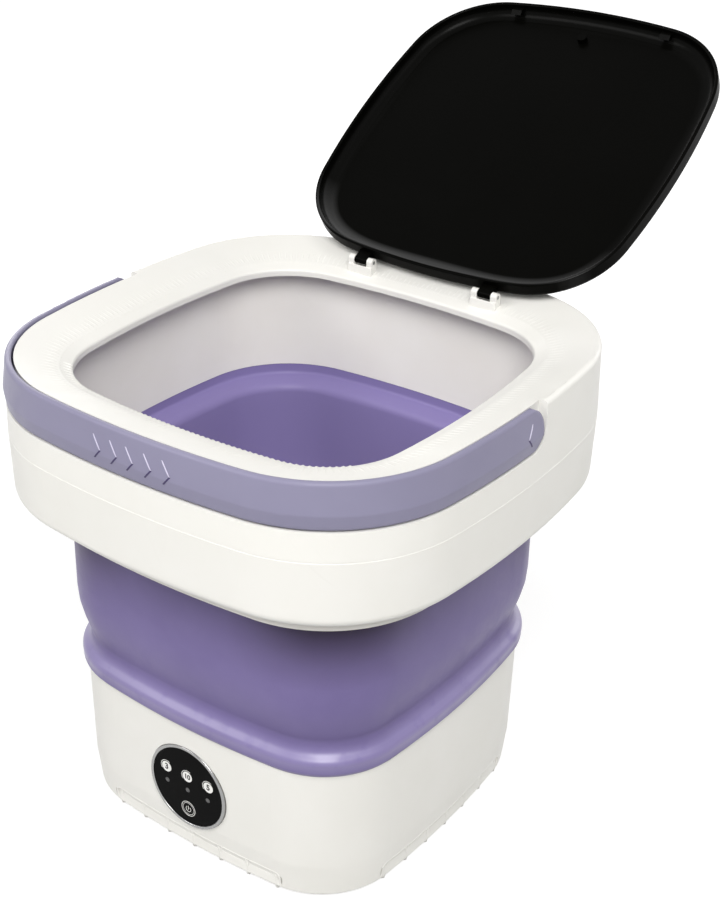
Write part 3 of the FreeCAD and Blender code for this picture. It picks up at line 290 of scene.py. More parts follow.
def moulded_surface_group():
    """Spark-eroded grain, slow colour drift and hazy sheen of a moulding."""
    group, given, result = new_group(
        "moulded_surface",
        [("Grain Scale", 1600.0), ("Drift Scale", 14.0), ("Haze Scale", 60.0)],
        ["Grain", "Drift", "Haze"],
    )
    place = object_place(group)
    fine = noise(group, place, given["Grain Scale"], detail=2.0, roughness=0.6)
    coarse = noise(group, place, times(group, given["Grain Scale"], COARSE_GRAIN), detail=1.0)
    fine, coarse = times(group, fine, FINE_SHARE), times(group, coarse, COARSE_SHARE)
    drift = noise(group, place, given["Drift Scale"], detail=3.0, roughness=0.55, distortion=0.4)
    haze = noise(group, place, given["Haze Scale"], detail=4.0, roughness=0.6, distortion=0.8)
    group.links.new(math_node(group, "ADD", fine, coarse), result["Grain"])
    group.links.new(spread(group, drift, *DRIFT_RANGE), result["Drift"])
    group.links.new(spread(group, haze, *HAZE_RANGE), result["Haze"])
    return group


def hairline_group():
    """Sparse fine handling scratches that run two ways."""
    group, given, result = new_group(
        "hairline_scratches", [("Length Scale", 12.0), ("Fineness", 46.0)], ["Mask"])
    place = object_place(group)
    along = given["Length Scale"]
    runs = []
    for turn in HAIRLINE_TURNS:
        mapping = group.nodes.new("ShaderNodeMapping")
        mapping.inputs["Rotation"].default_value = turn
        group.links.new(place, mapping.inputs["Vector"])
        stretch = group.nodes.new("ShaderNodeCombineXYZ")
        across = times(group, along, given["Fineness"])
        for socket, value in zip(stretch.inputs, (along, across, along)):
            group.links.new(value, socket)
        scaled = group.nodes.new("ShaderNodeVectorMath")
        scaled.operation = "MULTIPLY"
        group.links.new(mapping.outputs[0], scaled.inputs[0])
        group.links.new(stretch.outputs[0], scaled.inputs[1])
        streaks = noise(group, scaled.outputs[0], 1.0, detail=2.0, roughness=0.6)
        runs.append(spread(group, streaks, *HAIRLINE_RANGE))
    patches = spread(group, noise(group, place, PATCH_SCALE, detail=2.0), *PATCH_RANGE)
    either = math_node(group, "MAXIMUM", *runs)
    group.links.new(math_node(group, "MULTIPLY", either, patches, clamp=True), result["Mask"])
    return group


def rubbed_edge_group():
    """Narrow mask along the edges that hands and cloths polish."""
    group, given, result = new_group("rubbed_edges", [("Radius", 0.0012)], ["Mask"])
    bevel = group.nodes.new("ShaderNodeBevel")
    bevel.samples = EDGE_SAMPLES
    group.links.new(given["Radius"], bevel.inputs["Radius"])
    true = group.nodes.new("ShaderNodeNewGeometry")
    dot = group.nodes.new("ShaderNodeVectorMath")
    dot.operation = "DOT_PRODUCT"
    group.links.new(bevel.outputs["Normal"], dot.inputs[0])
    group.links.new(true.outputs["Normal"], dot.inputs[1])
    bent = spread(group, math_node(group, "SUBTRACT", 1.0, dot.outputs["Value"]), *EDGE_BEND)
    worn = noise(group, object_place(group), EDGE_BREAK_SCALE, detail=3.0, roughness=0.65)
    group.links.new(times(group, bent, spread(group, worn, *EDGE_BREAK_RANGE)), result["Mask"])
    return group


MOULDED = moulded_surface_group()
HAIRLINES = hairline_group()
RUBBED = rubbed_edge_group()


def place_group(tree, group, **values):
    node = tree.nodes.new("ShaderNodeGroup")
    node.node_tree = group
    for label, value in values.items():
        node.inputs[label.replace("_", " ")].default_value = value
    return node.outputs


# Finishes. Colours are written as 0 to 255 display values and lengths in metres.

BUMP_STRENGTH, SCRATCH_DULLING, EDGE_WEAR, EDGE_POLISH = 0.25, 0.2, 0.5, -0.12
# Share of the painted light on the inside face of the folding wall.
INSIDE_LIGHT_SHARE = 0.9
POLISH_BREAK_SCALE, POLISH_BREAK_RANGE = 90.0, (0.1, 0.45)
# Painted shade: the product of x and y that marks a corner and the share that stays along
# the sides; how open a valley is; the heights above the roll and below the collar where it sets in.
SHADE_CORNER, SHADE_SIDES = (0.005, 0.0115), 0.25
SHADE_OPEN, SKY_SAMPLES = (0.98, 0.7), 8
SHADE_ABOVE_ROLL, SHADE_BELOW_COLLAR = (0.1195, 0.1245), (0.172, 0.215)
CREASE_SAMPLES = 6
# Lid cove: squareness of its outline, inner and outer edge, and the stretch beside the hinge.
COVE_POWER, COVE_INNER, COVE_OUTER = 4.0, (0.1135, 0.1175), (0.1262, 0.1245)
COVE_HINGE_SIDE, COVE_LEAST = (-0.07, -0.112), 0.05


def finish_of(name, colour, drifted, scratched, rough, grain=1600.0, relief=0.00004, edge=None,
              drift=14.0, scratches=0.35, **shader):
    """A moulded, turned or pressed surface: drift between two tones, haze, grain, scratches and
    rubbed edges."""
    paint = bpy.data.materials.new(name)
    paint.use_nodes = True
    tree = paint.node_tree
    principled = tree.nodes["Principled BSDF"]
    for label, value in shader.items():
        principled.inputs[label.replace("_", " ")].default_value = value
    skin = place_group(tree, MOULDED, Grain_Scale=grain, Drift_Scale=drift)
    colours = mix_colour(tree, skin["Drift"], linear(*colour), linear(*drifted))
    marks = times(tree, place_group(tree, HAIRLINES)["Mask"], scratches)
    colours = mix_colour(tree, marks, colours, linear(*scratched))
    low, high = rough
    gloss = math_node(tree, "MULTIPLY_ADD", skin["Haze"], high - low, low)
    gloss = math_node(tree, "MULTIPLY_ADD", marks, SCRATCH_DULLING, gloss, clamp=True)
    if edge is not None:
        worn = times(tree, place_group(tree, RUBBED)["Mask"], EDGE_WEAR)
        colours = mix_colour(tree, worn, colours, linear(*edge))
        gloss = math_node(tree, "MULTIPLY_ADD", worn, EDGE_POLISH, gloss, clamp=True)
    bump = tree.nodes.new("ShaderNodeBump")
    bump.inputs["Strength"].default_value = BUMP_STRENGTH
    bump.inputs["Distance"].default_value = relief
    tree.links.new(skin["Grain"], bump.inputs["Height"])
    tree.links.new(colours, principled.inputs["Base Color"])
    tree.links.new(gloss, principled.inputs["Roughness"])
    tree.links.new(bump.outputs[0], principled.inputs["Normal"])
    return paint


def tint(tree, factor, colour):
    """Mixes one more colour into a finish."""
    base = tree.nodes["Principled BSDF"].inputs["Base Color"]
    tinted = mix_colour(tree, factor, base.links[0].from_socket, linear(*colour))
    tree.links.new(tinted, base)


def inside_mark(tree):
    """1 on the inner face of the folding wall and 0 on its outer face."""
    mark = tree.nodes.new("ShaderNodeAttribute")
    mark.attribute_name = "inside"
    return mark.outputs["Fac"]


def painted_inside_light(paint, colour):
    """Painted light: mixes a lighter colour into the inside face, which the lamps reach too little.
    """
    tree = paint.node_tree
    tint(tree, times(tree, inside_mark(tree), INSIDE_LIGHT_SHARE), colour)


def polish_between(paint, low, high, blend):
    """Gives a finish a coat of sheen between two heights, where folding rubs it smooth."""
    tree = paint.node_tree
    z = object_axes(tree)["Z"]
    above = spread(tree, z, low - blend, low + blend)
    below = spread(tree, z, high + blend, high - blend)
    broken = noise(tree, object_place(tree), POLISH_BREAK_SCALE, detail=3.0)
    band = times(tree, times(tree, above, below), spread(tree, broken, *POLISH_BREAK_RANGE))
    tree.links.new(band, tree.nodes["Principled BSDF"].inputs["Coat Weight"])


def painted_fold_shade(paint, colour, reach):
    """Painted shade: darkens the outside in the fold valley and below the collar, most at corners.
    """
    tree = paint.node_tree
    open_sky = tree.nodes.new("ShaderNodeAmbientOcclusion")
    open_sky.samples = SKY_SAMPLES
    open_sky.inputs["Distance"].default_value = reach
    axes = object_axes(tree)
    product = math_node(tree, "ABSOLUTE", times(tree, axes["X"], axes["Y"]))
    corner = spread(tree, product, *SHADE_CORNER)
    corner = math_node(tree, "MULTIPLY_ADD", corner, 1 - SHADE_SIDES, SHADE_SIDES)
    valley = spread(tree, open_sky.outputs["AO"], *SHADE_OPEN)
    valley = times(tree, valley, spread(tree, axes["Z"], *SHADE_ABOVE_ROLL))
    below_collar = spread(tree, axes["Z"], *SHADE_BELOW_COLLAR)
    shade_mask = times(tree, math_node(tree, "MAXIMUM", valley, below_collar), corner)
    outside = math_node(tree, "SUBTRACT", 1.0, inside_mark(tree), clamp=True)
    tint(tree, times(tree, shade_mask, outside), colour)


def soft_creases(paint, radius):
    """Eases the shading across the blunt creases of a moulding."""
    tree = paint.node_tree
    eased = tree.nodes.new("ShaderNodeBevel")
    eased.samples = CREASE_SAMPLES
    eased.inputs["Radius"].default_value = radius
    tree.links.new(eased.outputs[0], tree.nodes["Bump"].inputs["Normal"])


def lid_sheen(paint):
    """A coat of gloss on the lid's inner cove, strongest beside the hinge."""
    tree = paint.node_tree
    axes = object_axes(tree)
    angle = math.radians(LID_OPEN)
    rise = math_node(tree, "SUBTRACT", axes["Z"], HINGE_Z * MM)
    back = math_node(tree, "SUBTRACT", axes["Y"], HINGE_Y * MM)
    along = math_node(tree, "SUBTRACT", times(tree, rise, math.sin(angle)),
                      times(tree, back, math.cos(angle)))
    along = math_node(tree, "SUBTRACT", along, HINGE_Y * MM)
    wide = math_node(tree, "POWER", math_node(tree, "ABSOLUTE", axes["X"]), COVE_POWER)
    tall = math_node(tree, "POWER", math_node(tree, "ABSOLUTE", along), COVE_POWER)
    far = math_node(tree, "POWER", math_node(tree, "ADD", wide, tall), 1 / COVE_POWER)
    cove = times(tree, spread(tree, far, *COVE_INNER), spread(tree, far, *COVE_OUTER))
    near = spread(tree, along, *COVE_HINGE_SIDE)
    near = math_node(tree, "MULTIPLY_ADD", near, 1 - COVE_LEAST, COVE_LEAST)
    tree.links.new(times(tree, cove, near), tree.nodes["Principled BSDF"].inputs["Coat Weight"])


FINISHES = {
    "white_shell": finish_of(
        "white_shell_abs", (237, 236, 232), (234, 233, 228), (222, 220, 214), (0.34, 0.46),
        edge=(243, 242, 239), scratches=0.12, Specular_IOR_Level=0.4),
    "liner_white": finish_of(
        "liner_polypropylene", (243, 241, 237), (239, 236, 231), (226, 223, 217), (0.4, 0.54),
        grain=1100.0, scratches=0.12, Specular_IOR_Level=0.35),
    "silicone": finish_of(
        "purple_silicone", (122, 111, 159), (116, 105, 153), (144, 135, 178), (0.34, 0.44),
        grain=900.0, relief=0.00006, drift=20.0, scratches=0.03,
        Specular_IOR_Level=0.18, Coat_Roughness=0.42, Coat_IOR=1.65),
    "handle_grey": finish_of(
        "lilac_handle_plastic", (138, 135, 160), (133, 130, 155), (160, 157, 180), (0.34, 0.46),
        edge=(152, 149, 174), scratches=0.15, Specular_IOR_Level=0.3),
    "lid_black": finish_of(
        "black_lid_acrylic", (5, 5, 4), (4, 4, 3), (16, 15, 13), (0.3, 0.34),
        grain=2000.0, relief=0.00002, edge=(10, 10, 9), scratches=0.1,
        Specular_IOR_Level=0.02, Coat_Roughness=0.26),
    "panel_black": finish_of(
        "black_touch_glass", (5, 5, 5), (4, 4, 4), (30, 30, 30), (0.08, 0.16),
        grain=2400.0, relief=0.00001, scratches=0.1, Specular_IOR_Level=0.03),
    "bezel_chrome": finish_of(
        "polished_bezel", (164, 164, 163), (152, 152, 152), (124, 124, 126), (0.2, 0.3),
        grain=2400.0, relief=0.00001, Metallic=1.0),
    "board_green": finish_of(
        "circuit_board", (28, 92, 52), (20, 74, 42), (90, 130, 80), (0.4, 0.55), drift=120.0),
    "steel": finish_of(
        "zinc_plated_steel", (176, 177, 178), (158, 158, 160), (120, 118, 114), (0.26, 0.42),
        grain=1400.0, Metallic=1.0),
    "motor_grey": finish_of(
        "painted_motor_can", (96, 98, 102), (86, 88, 92), (140, 140, 140), (0.35, 0.5)),
    "housing_grey": finish_of(
        "grey_housing_plastic", (104, 106, 110), (94, 96, 100), (130, 130, 130), (0.42, 0.55)),
    "rubber_dark": finish_of(
        "dark_rubber", (40, 40, 41), (33, 33, 34), (66, 65, 63), (0.6, 0.76),
        grain=700.0, relief=0.0001, Specular_IOR_Level=0.3),
    "pulsator_white": finish_of(
        "pulsator_plastic", (226, 224, 220), (218, 215, 209), (196, 193, 187), (0.3, 0.42)),
}
lid_sheen(FINISHES["lid_black"])
soft_creases(FINISHES["handle_grey"], radius=0.0025)
# Painted light on the inside face of the folding wall.
painted_inside_light(FINISHES["silicone"], (136, 125, 175))
polish_between(FINISHES["silicone"], low=0.110, high=0.1225, blend=0.003)
# Painted shade below the collar, in the fold valley and at the corners of the folding wall.
painted_fold_shade(FINISHES["silicone"], (62, 52, 78), reach=0.09)

PRINT = finish_of(
    "white_panel_print", (244, 244, 242), (236, 236, 233), (200, 200, 198), (0.4, 0.5),
    drift=300.0, scratches=0.15, Specular_IOR_Level=0.2)
PRINT_DARK = finish_of(
    "dark_panel_print", (16, 16, 17), (12, 12, 12), (60, 60, 60), (0.4, 0.5),
    drift=300.0, scratches=0.15, Specular_IOR_Level=0.15)
# Painted highlight on the raised upper legs of the handle's arrows.
ARROW_PAINTED_HIGHLIGHT = finish_of(
    "arrow_painted_highlight", (206, 202, 222), (196, 192, 214), (220, 218, 232), (0.34, 0.44),
    scratches=0.1, Specular_IOR_Level=0.3)
# Painted shade on the lower legs of the handle's arrows.
ARROW_PAINTED_SHADE = finish_of(
    "arrow_painted_shade", (78, 70, 104), (70, 62, 96), (104, 96, 128), (0.4, 0.5),
    scratches=0.08, Specular_IOR_Level=0.15)
LAMP_GREY = finish_of(
    "unlit_lamp_window", (92, 92, 92), (74, 74, 75), (120, 120, 120), (0.2, 0.35),
    drift=400.0, scratches=0.1, Specular_IOR_Level=0.3)


# Shapes that follow the bowed square outlines.

SIDE_STEPS, CORNER_STEPS, ROUND_STEP = 40, 30, math.radians(9)
SAME_POINT = 1e-7
BASE_BOW, COLLAR_BOW = BASE_SIDE - BASE_HALF, COLLAR_SIDE - COLLAR_HALF


def route(half, corner, side):
    """Points and outward normals round a bowed square, from the +X middle anticlockwise."""
    c = (half - side + math.sqrt(2 * (side - corner) ** 2 - (side - half) ** 2)) / 2
    turn = math.atan2(c, c - half + side)
    arcs = (((half - side, 0.0), side, -turn, turn, SIDE_STEPS),
            ((c, c), corner, turn, math.pi / 2 - turn, CORNER_STEPS))
    points, normals = [], []
    for quarter in range(4):
        spin = quarter * math.pi / 2
        spun = np.array(((math.cos(spin), -math.sin(spin)), (math.sin(spin), math.cos(spin))))
        for centre, radius, start, end, steps in arcs:
            for k in range(steps):
                angle = start + (end - start) * k / steps
                out = np.array((math.cos(angle), math.sin(angle)))
                points.append(spun @ (np.array(centre) + radius * out))
                normals.append(spun @ out)
    return np.array(points), np.array(normals)


COLLAR_POINTS, COLLAR_NORMALS = route(COLLAR_HALF, COLLAR_CORNER, COLLAR_SIDE)


def quarter_turn(quarter):
    return Matrix.Rotation(quarter * math.pi / 2, 3, "Z")


def bowed(reach, sideways, bow):
    """How far out a bowed side lies beside its middle, where it reaches so far."""
    return math.sqrt((bow + reach) ** 2 - sideways ** 2) - bow


def rounded_profile(corners):
    """Closed section of (distance, height, radius) corners with the corners rounded off."""
    made = []
    count = len(corners)
    for i in range(count):
        here = np.array(corners[i][:2])
        radius = corners[i][2]
        if radius == 0:
            made.append(here)
            continue
        back = np.array(corners[i - 1][:2]) - here
        ahead = np.array(corners[(i + 1) % count][:2]) - here
        back, ahead = back / np.linalg.norm(back), ahead / np.linalg.norm(ahead)
        half = math.acos(max(-1.0, min(1.0, float(back @ ahead)))) / 2
        start = here + back * radius / math.tan(half)
        middle = (back + ahead) / np.linalg.norm(back + ahead)
        centre = here + middle * radius / math.sin(half)
        first, tip = start - centre, here - centre
        sweep = math.pi - 2 * half
        sign = 1.0 if first[0] * tip[1] - first[1] * tip[0] > 0 else -1.0
        parts = max(2, int(math.ceil(sweep / ROUND_STEP)))
        for k in range(parts + 1):
            a = sign * sweep * k / parts
            cos, sin = math.cos(a), math.sin(a)
            turned = (first[0] * cos - first[1] * sin, first[0] * sin + first[1] * cos)
            made.append(centre + np.array(turned))
    return np.array(made)


def divided(section, step):
    """The same closed section with its long straights divided."""
    made = []
    for start, end in zip(section, np.roll(section, -1, axis=0)):
        parts = max(1, int(np.linalg.norm(end - start) // step))
        made.extend(start + (end - start) * k / parts for k in range(parts))
    return np.array(made)


def swept_round(section):
    """Points and faces of a closed section of (distance, height) carried round the collar."""
    verts, faces = [], []
    wide, around = len(section), len(COLLAR_POINTS)
    for point, normal in zip(COLLAR_POINTS, COLLAR_NORMALS):
        for distance, z in section:
            x, y = point + normal * (distance - COLLAR_HALF)
            verts.append((x * MM, y * MM, z * MM))
    for i in range(around):
        here, ahead = i * wide, (i + 1) % around * wide
        for j in range(wide):
            k = (j + 1) % wide
            faces.append((here + j, here + k, ahead + k, ahead + j))
    return verts, faces


def add_bar(verts, faces, rows, start_cap=True):
    """Adds a bar through rows of section points, closed at its end and, if asked, its start."""
    first, wide = len(verts), len(rows[0])
    for row in rows:
        verts.extend(row)
    last = len(verts) - wide
    for here in range(first, last, wide):
        for j in range(wide):
            a, b = here + j, here + (j + 1) % wide
            faces.append((a, b, b + wide, a + wide))
    if start_cap:
        faces.append(range(first, first + wide))
    faces.append(range(last, last + wide))


def mesh_piece(name, verts, faces, material, sharp_angle=None):
    """A finished mesh object, with doubles merged and faces turned outwards. It is shaded smooth
    up to the sharp angle, or flat where there is none."""
    mesh = bpy.data.meshes.new(name)
    mesh.from_pydata([tuple(v) for v in verts], [], [tuple(f) for f in faces])
    shape = bmesh.new()
    shape.from_mesh(mesh)
    bmesh.ops.remove_doubles(shape, verts=shape.verts, dist=SAME_POINT)
    bmesh.ops.recalc_face_normals(shape, faces=shape.faces)
    shape.to_mesh(mesh)
    shape.free()
    if sharp_angle is not None:
        mesh.shade_smooth()
        mesh.set_sharp_from_angle(angle=math.radians(sharp_angle))
    mesh.materials.append(material)
    return add_object(name, mesh)


def settle(piece, body):
    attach(piece, body)


# Folding silicone wall.

WALL_SKIN, WALL_TOP, WALL_STEP = 2.2, 238.7, 7.0
WALL_NECK, WALL_FACE, WALL_FLANGE = 142.6, 131.2, 115.5
BEAD_LOW, BEAD_OUT = 232.9, WALL_NECK + WALL_SKIN + 2.5
WALL_INNER_START = (BASE_HALF - WALL_SKIN, BASE_TOP + WALL_SKIN)
WALL_CORNERS = (
    # Bead, ledge, upper wall, fold groove, lower roll and clamped flange on the outside.
    (BEAD_OUT, WALL_TOP, 0.5), (BEAD_OUT, BEAD_LOW, 0.5), (WALL_NECK + WALL_SKIN, BEAD_LOW, 0),
    (WALL_NECK + WALL_SKIN, 229.3, 3.0), (WALL_FACE, 224.3, 5.0), (WALL_FACE, 154.0, 70.0),
    (122.9, 127.5, 10.0), (125.0, 120.8, 8.0), (130.5, 115.9, 5.4), (130.0, 107.5, 3.0),
    (BASE_HALF + 0.3, BASE_TOP, 0.4), (WALL_FLANGE, BASE_TOP, 0),
    # The same on the inside, upwards.
    (WALL_FLANGE, BASE_TOP + WALL_SKIN, 0.3), (*WALL_INNER_START, 0.8),
    (127.8, 108.6, 1.0), (128.3, 114.6, 2.2), (122.8, 119.6, 9.0), (120.6, 127.3, 12.0),
    (WALL_FACE - WALL_SKIN, 154.3, 67.8), (WALL_FACE - WALL_SKIN, 226.5, 7.2),
    (WALL_NECK, 231.5, 3.0), (WALL_NECK, WALL_TOP, 0),
)


def folding_wall():
    section = divided(rounded_profile(WALL_CORNERS), WALL_STEP)
    verts, faces = swept_round(section)
    piece = mesh_piece("folding_wall", verts, faces, FINISHES["silicone"], sharp_angle=50)
    inner_from = int(np.argmin(np.linalg.norm(section - np.array(WALL_INNER_START), axis=1)))
    marks = [float(index % len(section) > inner_from) for index in range(len(verts))]
    piece.data.attributes.new("inside", "FLOAT", "POINT").data.foreach_set("value", marks)
    settle(piece, "base")
    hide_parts("bellows")
    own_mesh(piece)


# Repeated ribs, placed by node trees. Their inputs are in metres.

RIB_GRID = {"Vertices X": 5, "Vertices Y": 3, "Vertices Z": 2}
RIB_START_HEIGHT, RIB_START_RISE = 0.6, 2.0
RIB_DEPTH, RIB_SINK = 0.0006, 0.0001
RING_RIBS = {"Pitch": 0.0037, "Length": 0.0205, "Width": 0.0022, "Height": 0.0003}
LIP_TEETH = {"Pitch": 0.0037, "Length": 0.0062, "Width": 0.0028, "Height": 0.0010}
RIB_LIP_LAP, TOOTH_INSET, TEETH_FRONT_Y = 1.1, 0.3, -100.0
LIP_SLOPE = (LIP_TOP_Z - LIP_EDGE_Z) / (LIP_TOP - LIP_EDGE)
FOOT_RIBS = {"Length": 0.0125, "Width": 0.0032, "Height": 0.0016}
FOOT_RIB_PITCH, FOOT_RIB_INSET, FOOT_RIB_LOW = 22.9, 0.95, 1.5
FOOT_RIB_PLACES = range(-3, 4)
FOOT_SLOPE = (FOOT_INSET - BASE_DRAFT) / (FOOT_TURN - BASE_LOW)


def new_tree(name, values):
    """A node tree for geometry with one named input for each value."""
    tree = bpy.data.node_groups.new(name, "GeometryNodeTree")
    for way in ("INPUT", "OUTPUT"):
        tree.interface.new_socket("Geometry", in_out=way, socket_type="NodeSocketGeometry")
    for label, value in values.items():
        kind = "NodeSocketMaterial" if label == "Material" else "NodeSocketFloat"
        socket = tree.interface.new_socket(label, in_out="INPUT", socket_type=kind)
        socket.default_value = value
    given = tree.nodes.new("NodeGroupInput").outputs
    return tree, given, tree.nodes.new("NodeGroupOutput").inputs


def shaped_rib(tree, given, fading, first_run, first_slope, second_slope):
    """A closed rounded bar along +X on ground of two slopes, blunt at its start and fading towards
    its end."""
    nodes, links = tree.nodes, tree.links
    box = nodes.new("GeometryNodeMeshCube")
    box.inputs["Size"].default_value = (1, 1, 1)
    for label, count in RIB_GRID.items():
        box.inputs[label].default_value = count
    parts = nodes.new("ShaderNodeSeparateXYZ")
    links.new(nodes.new("GeometryNodeInputPosition").outputs[0], parts.inputs[0])
    along = math_node(tree, "ADD", parts.outputs["X"], 0.5)
    top = math_node(tree, "ADD", parts.outputs["Z"], 0.5)
    across = times(tree, parts.outputs["Y"], 2.0)
    dome = math_node(tree, "SUBTRACT", 1.0, math_node(tree, "POWER", across, 2.0))
    blunt = math_node(tree, "MULTIPLY_ADD", along, RIB_START_RISE, RIB_START_HEIGHT)
    blunt = math_node(tree, "MINIMUM", blunt, 1.0)
    left = math_node(tree, "SUBTRACT", 1.0, along)
    fade = math_node(tree, "MINIMUM", times(tree, left, fading), 1.0)
    swell = times(tree, times(tree, blunt, fade), dome)
    crown = times(tree, times(tree, swell, given["Height"]), top)
    run = times(tree, along, given["Length"])
    near = math_node(tree, "MINIMUM", run, first_run)
    far = times(tree, math_node(tree, "SUBTRACT", run, near), second_slope)
    ground = math_node(tree, "MULTIPLY_ADD", near, first_slope, far)
    under = math_node(tree, "SUBTRACT", 1.0, top)
    sunk = math_node(tree, "MULTIPLY_ADD", under, -RIB_DEPTH, -RIB_SINK)
    y = times(tree, parts.outputs["Y"], given["Width"])
    z = math_node(tree, "ADD", math_node(tree, "ADD", crown, ground), sunk)
    joined = nodes.new("ShaderNodeCombineXYZ")
    for socket, value in zip(joined.inputs, (run, y, z)):
        links.new(value, socket)
    moved = nodes.new("GeometryNodeSetPosition")
    links.new(box.outputs["Mesh"], moved.inputs["Geometry"])
    links.new(joined.outputs[0], moved.inputs["Position"])
    smooth = nodes.new("GeometryNodeSetShadeSmooth")
    links.new(moved.outputs[0], smooth.inputs["Geometry"])
    return smooth.outputs[0]


def place_ribs(tree, given, result, rib, points, turns):
    """Puts a rib on each point, makes the copies real and paints them."""
    nodes, links = tree.nodes, tree.links
    copies = nodes.new("GeometryNodeInstanceOnPoints")
    for label, value in (("Points", points), ("Instance", rib), ("Rotation", turns)):
        links.new(value, copies.inputs[label])
    real = nodes.new("GeometryNodeRealizeInstances")
    links.new(copies.outputs[0], real.inputs["Geometry"])
    paint = nodes.new("GeometryNodeSetMaterial")
    links.new(real.outputs[0], paint.inputs["Geometry"])
    links.new(given["Material"], paint.inputs["Material"])
    links.new(paint.outputs[0], result["Geometry"])


def plain_mesh(source):
    """The finished mesh of an object, which is then removed."""
    bpy.context.view_layer.update()
    graph = bpy.context.evaluated_depsgraph_get()
    mesh = bpy.data.meshes.new_from_object(source.evaluated_get(graph))
    bpy.data.objects.remove(source)
    return mesh


def grown(name, tree, source, values):
    """Runs a node tree on a source object and keeps the result as a plain mesh piece."""
    modifier = source.modifiers.new("tree", "NODES")
    modifier.node_group = tree
    for item in tree.interface.items_tree:
        if item.in_out == "INPUT" and item.name in values:
            modifier[item.identifier] = values[item.name]
    mesh = plain_mesh(source)
    mesh.name = name
    return add_object(name, mesh)


def ring_ribs(name, sizes, start, fading, front_only):
    """Fine radial ribs that start at one distance on the dished top ring and follow its lip and
    slope outwards."""
    values = dict(sizes, Material=FINISHES["white_shell"])
    tree, given, result = new_tree(name + "_tree", values)
    nodes, links = tree.nodes, tree.links
    spaced = nodes.new("GeometryNodeResampleCurve")
    spaced.mode = "LENGTH"
    links.new(given["Geometry"], spaced.inputs["Curve"])
    links.new(given["Pitch"], spaced.inputs["Length"])
    dots = nodes.new("GeometryNodeCurveToPoints")
    dots.mode = "EVALUATED"
    links.new(spaced.outputs[0], dots.inputs["Curve"])
    aim = nodes.new("FunctionNodeAlignEulerToVector")
    aim.axis = "Y"
    aim.pivot_axis = "Z"
    links.new(dots.outputs["Tangent"], aim.inputs["Vector"])
    rib = shaped_rib(tree, given, fading, (LIP_TOP - start) * MM, LIP_SLOPE, RING_SLOPE)
    place_ribs(tree, given, result, rib, dots.outputs["Points"], aim.outputs[0])
    line = COLLAR_POINTS + COLLAR_NORMALS * (start - COLLAR_HALF)
    if front_only:
        rear = int(np.argmax(line[:, 1]))
        line = np.roll(line, -rear, axis=0)
        line = line[line[:, 1] < TEETH_FRONT_Y]
    height = LIP_TOP_Z - (LIP_TOP - start) * LIP_SLOPE
    curve = bpy.data.curves.new(name + "_route", "CURVE")
    curve.dimensions = "3D"
    spline = curve.splines.new("POLY")
    spline.points.add(len(line) - 1)
    for point, (x, y) in zip(spline.points, line):
        point.co = (x * MM, y * MM, height * MM, 1)
    spline.use_cyclic_u = not front_only
    piece = grown(name, tree, add_object(name + "_route", curve), values)
    settle(piece, "collar")


def foot_ribs():
    """Short upright ribs across the finger groove at the foot of each side."""
    values = dict(FOOT_RIBS, Material=FINISHES["white_shell"])
    tree, given, result = new_tree("foot_rib_tree", values)
    dots = tree.nodes.new("GeometryNodeMeshToPoints")
    tree.links.new(given["Geometry"], dots.inputs["Mesh"])
    outward = tree.nodes.new("GeometryNodeInputNamedAttribute")
    outward.data_type = "FLOAT_VECTOR"
    outward.inputs["Name"].default_value = "turn"
    rib = shaped_rib(tree, given, fading=1.0, first_run=1.0, first_slope=0.0, second_slope=0.0)
    place_ribs(tree, given, result, rib, dots.outputs["Points"], outward.outputs["Attribute"])
    # A bar stands up: its length runs up the sloping foot and its crown faces outwards.
    up = Vector((FOOT_SLOPE, 0, 1)).normalized()
    face = Vector((1, 0, -FOOT_SLOPE)).normalized()
    standing = Matrix((up, face.cross(up), face)).transposed()
    places, turns = [], []
    for quarter in range(4):
        spin = quarter_turn(quarter)
        for k in FOOT_RIB_PLACES:
            sideways = FOOT_RIB_PITCH * k
            distance = bowed(BASE_HALF - FOOT_INSET - FOOT_RIB_INSET, sideways, BASE_BOW)
            places.append(tuple(spin @ (Vector((distance, sideways, FOOT_RIB_LOW)) * MM)))
            turns.extend((spin @ standing).to_euler())
    mesh = bpy.data.meshes.new("foot_rib_places")
    mesh.from_pydata(places, [], [])
    mesh.attributes.new("turn", "FLOAT_VECTOR", "POINT").data.foreach_set("vector", turns)
    piece = grown("foot_ribs", tree, add_object("foot_rib_places", mesh), values)
    settle(piece, "base")


# Bands along the foot and the cord in the collar's seam.

BAND_END, BAND_LOW, BAND_TOP, BAND_TURN = 72.0, 4.6, 15.6, 4.0
BAND_STEPS, BAND_TURN_ANGLES = 20, (0.4, 0.8, 1.2)
RAMP_END, RAMP_STEPS = 71.7, 19
# Offset across and lift of the bead, and height and lift of the ramp.
BEAD_SECTION = ((0.75, -0.4), (0.6, 0.1), (0.2, 0.2), (-0.2, 0.2), (-0.5, 0.04), (-0.6, -1.3))
RAMP_SECTION = ((11.0, -1.3), (11.0, -1.16), (BAND_LOW, 0.02), (4.2, -0.3))
# Distance from the middle and height above the seam.
CORD_SECTION = (
    (166.6, 0.0), (167.28, -0.58), (167.33, -0.3), (167.34, 0.0), (167.33, 0.3), (167.28, 0.58))


def foot_place(quarter, sideways, z, lift):
    """A point on the sloping foot of one side of the base, lifted off its surface."""
    reach = BASE_HALF - BASE_DRAFT - (FOOT_TURN - z) * FOOT_SLOPE + lift
    return quarter_turn(quarter) @ Vector((bowed(reach, sideways, BASE_BOW), sideways, z)) * MM


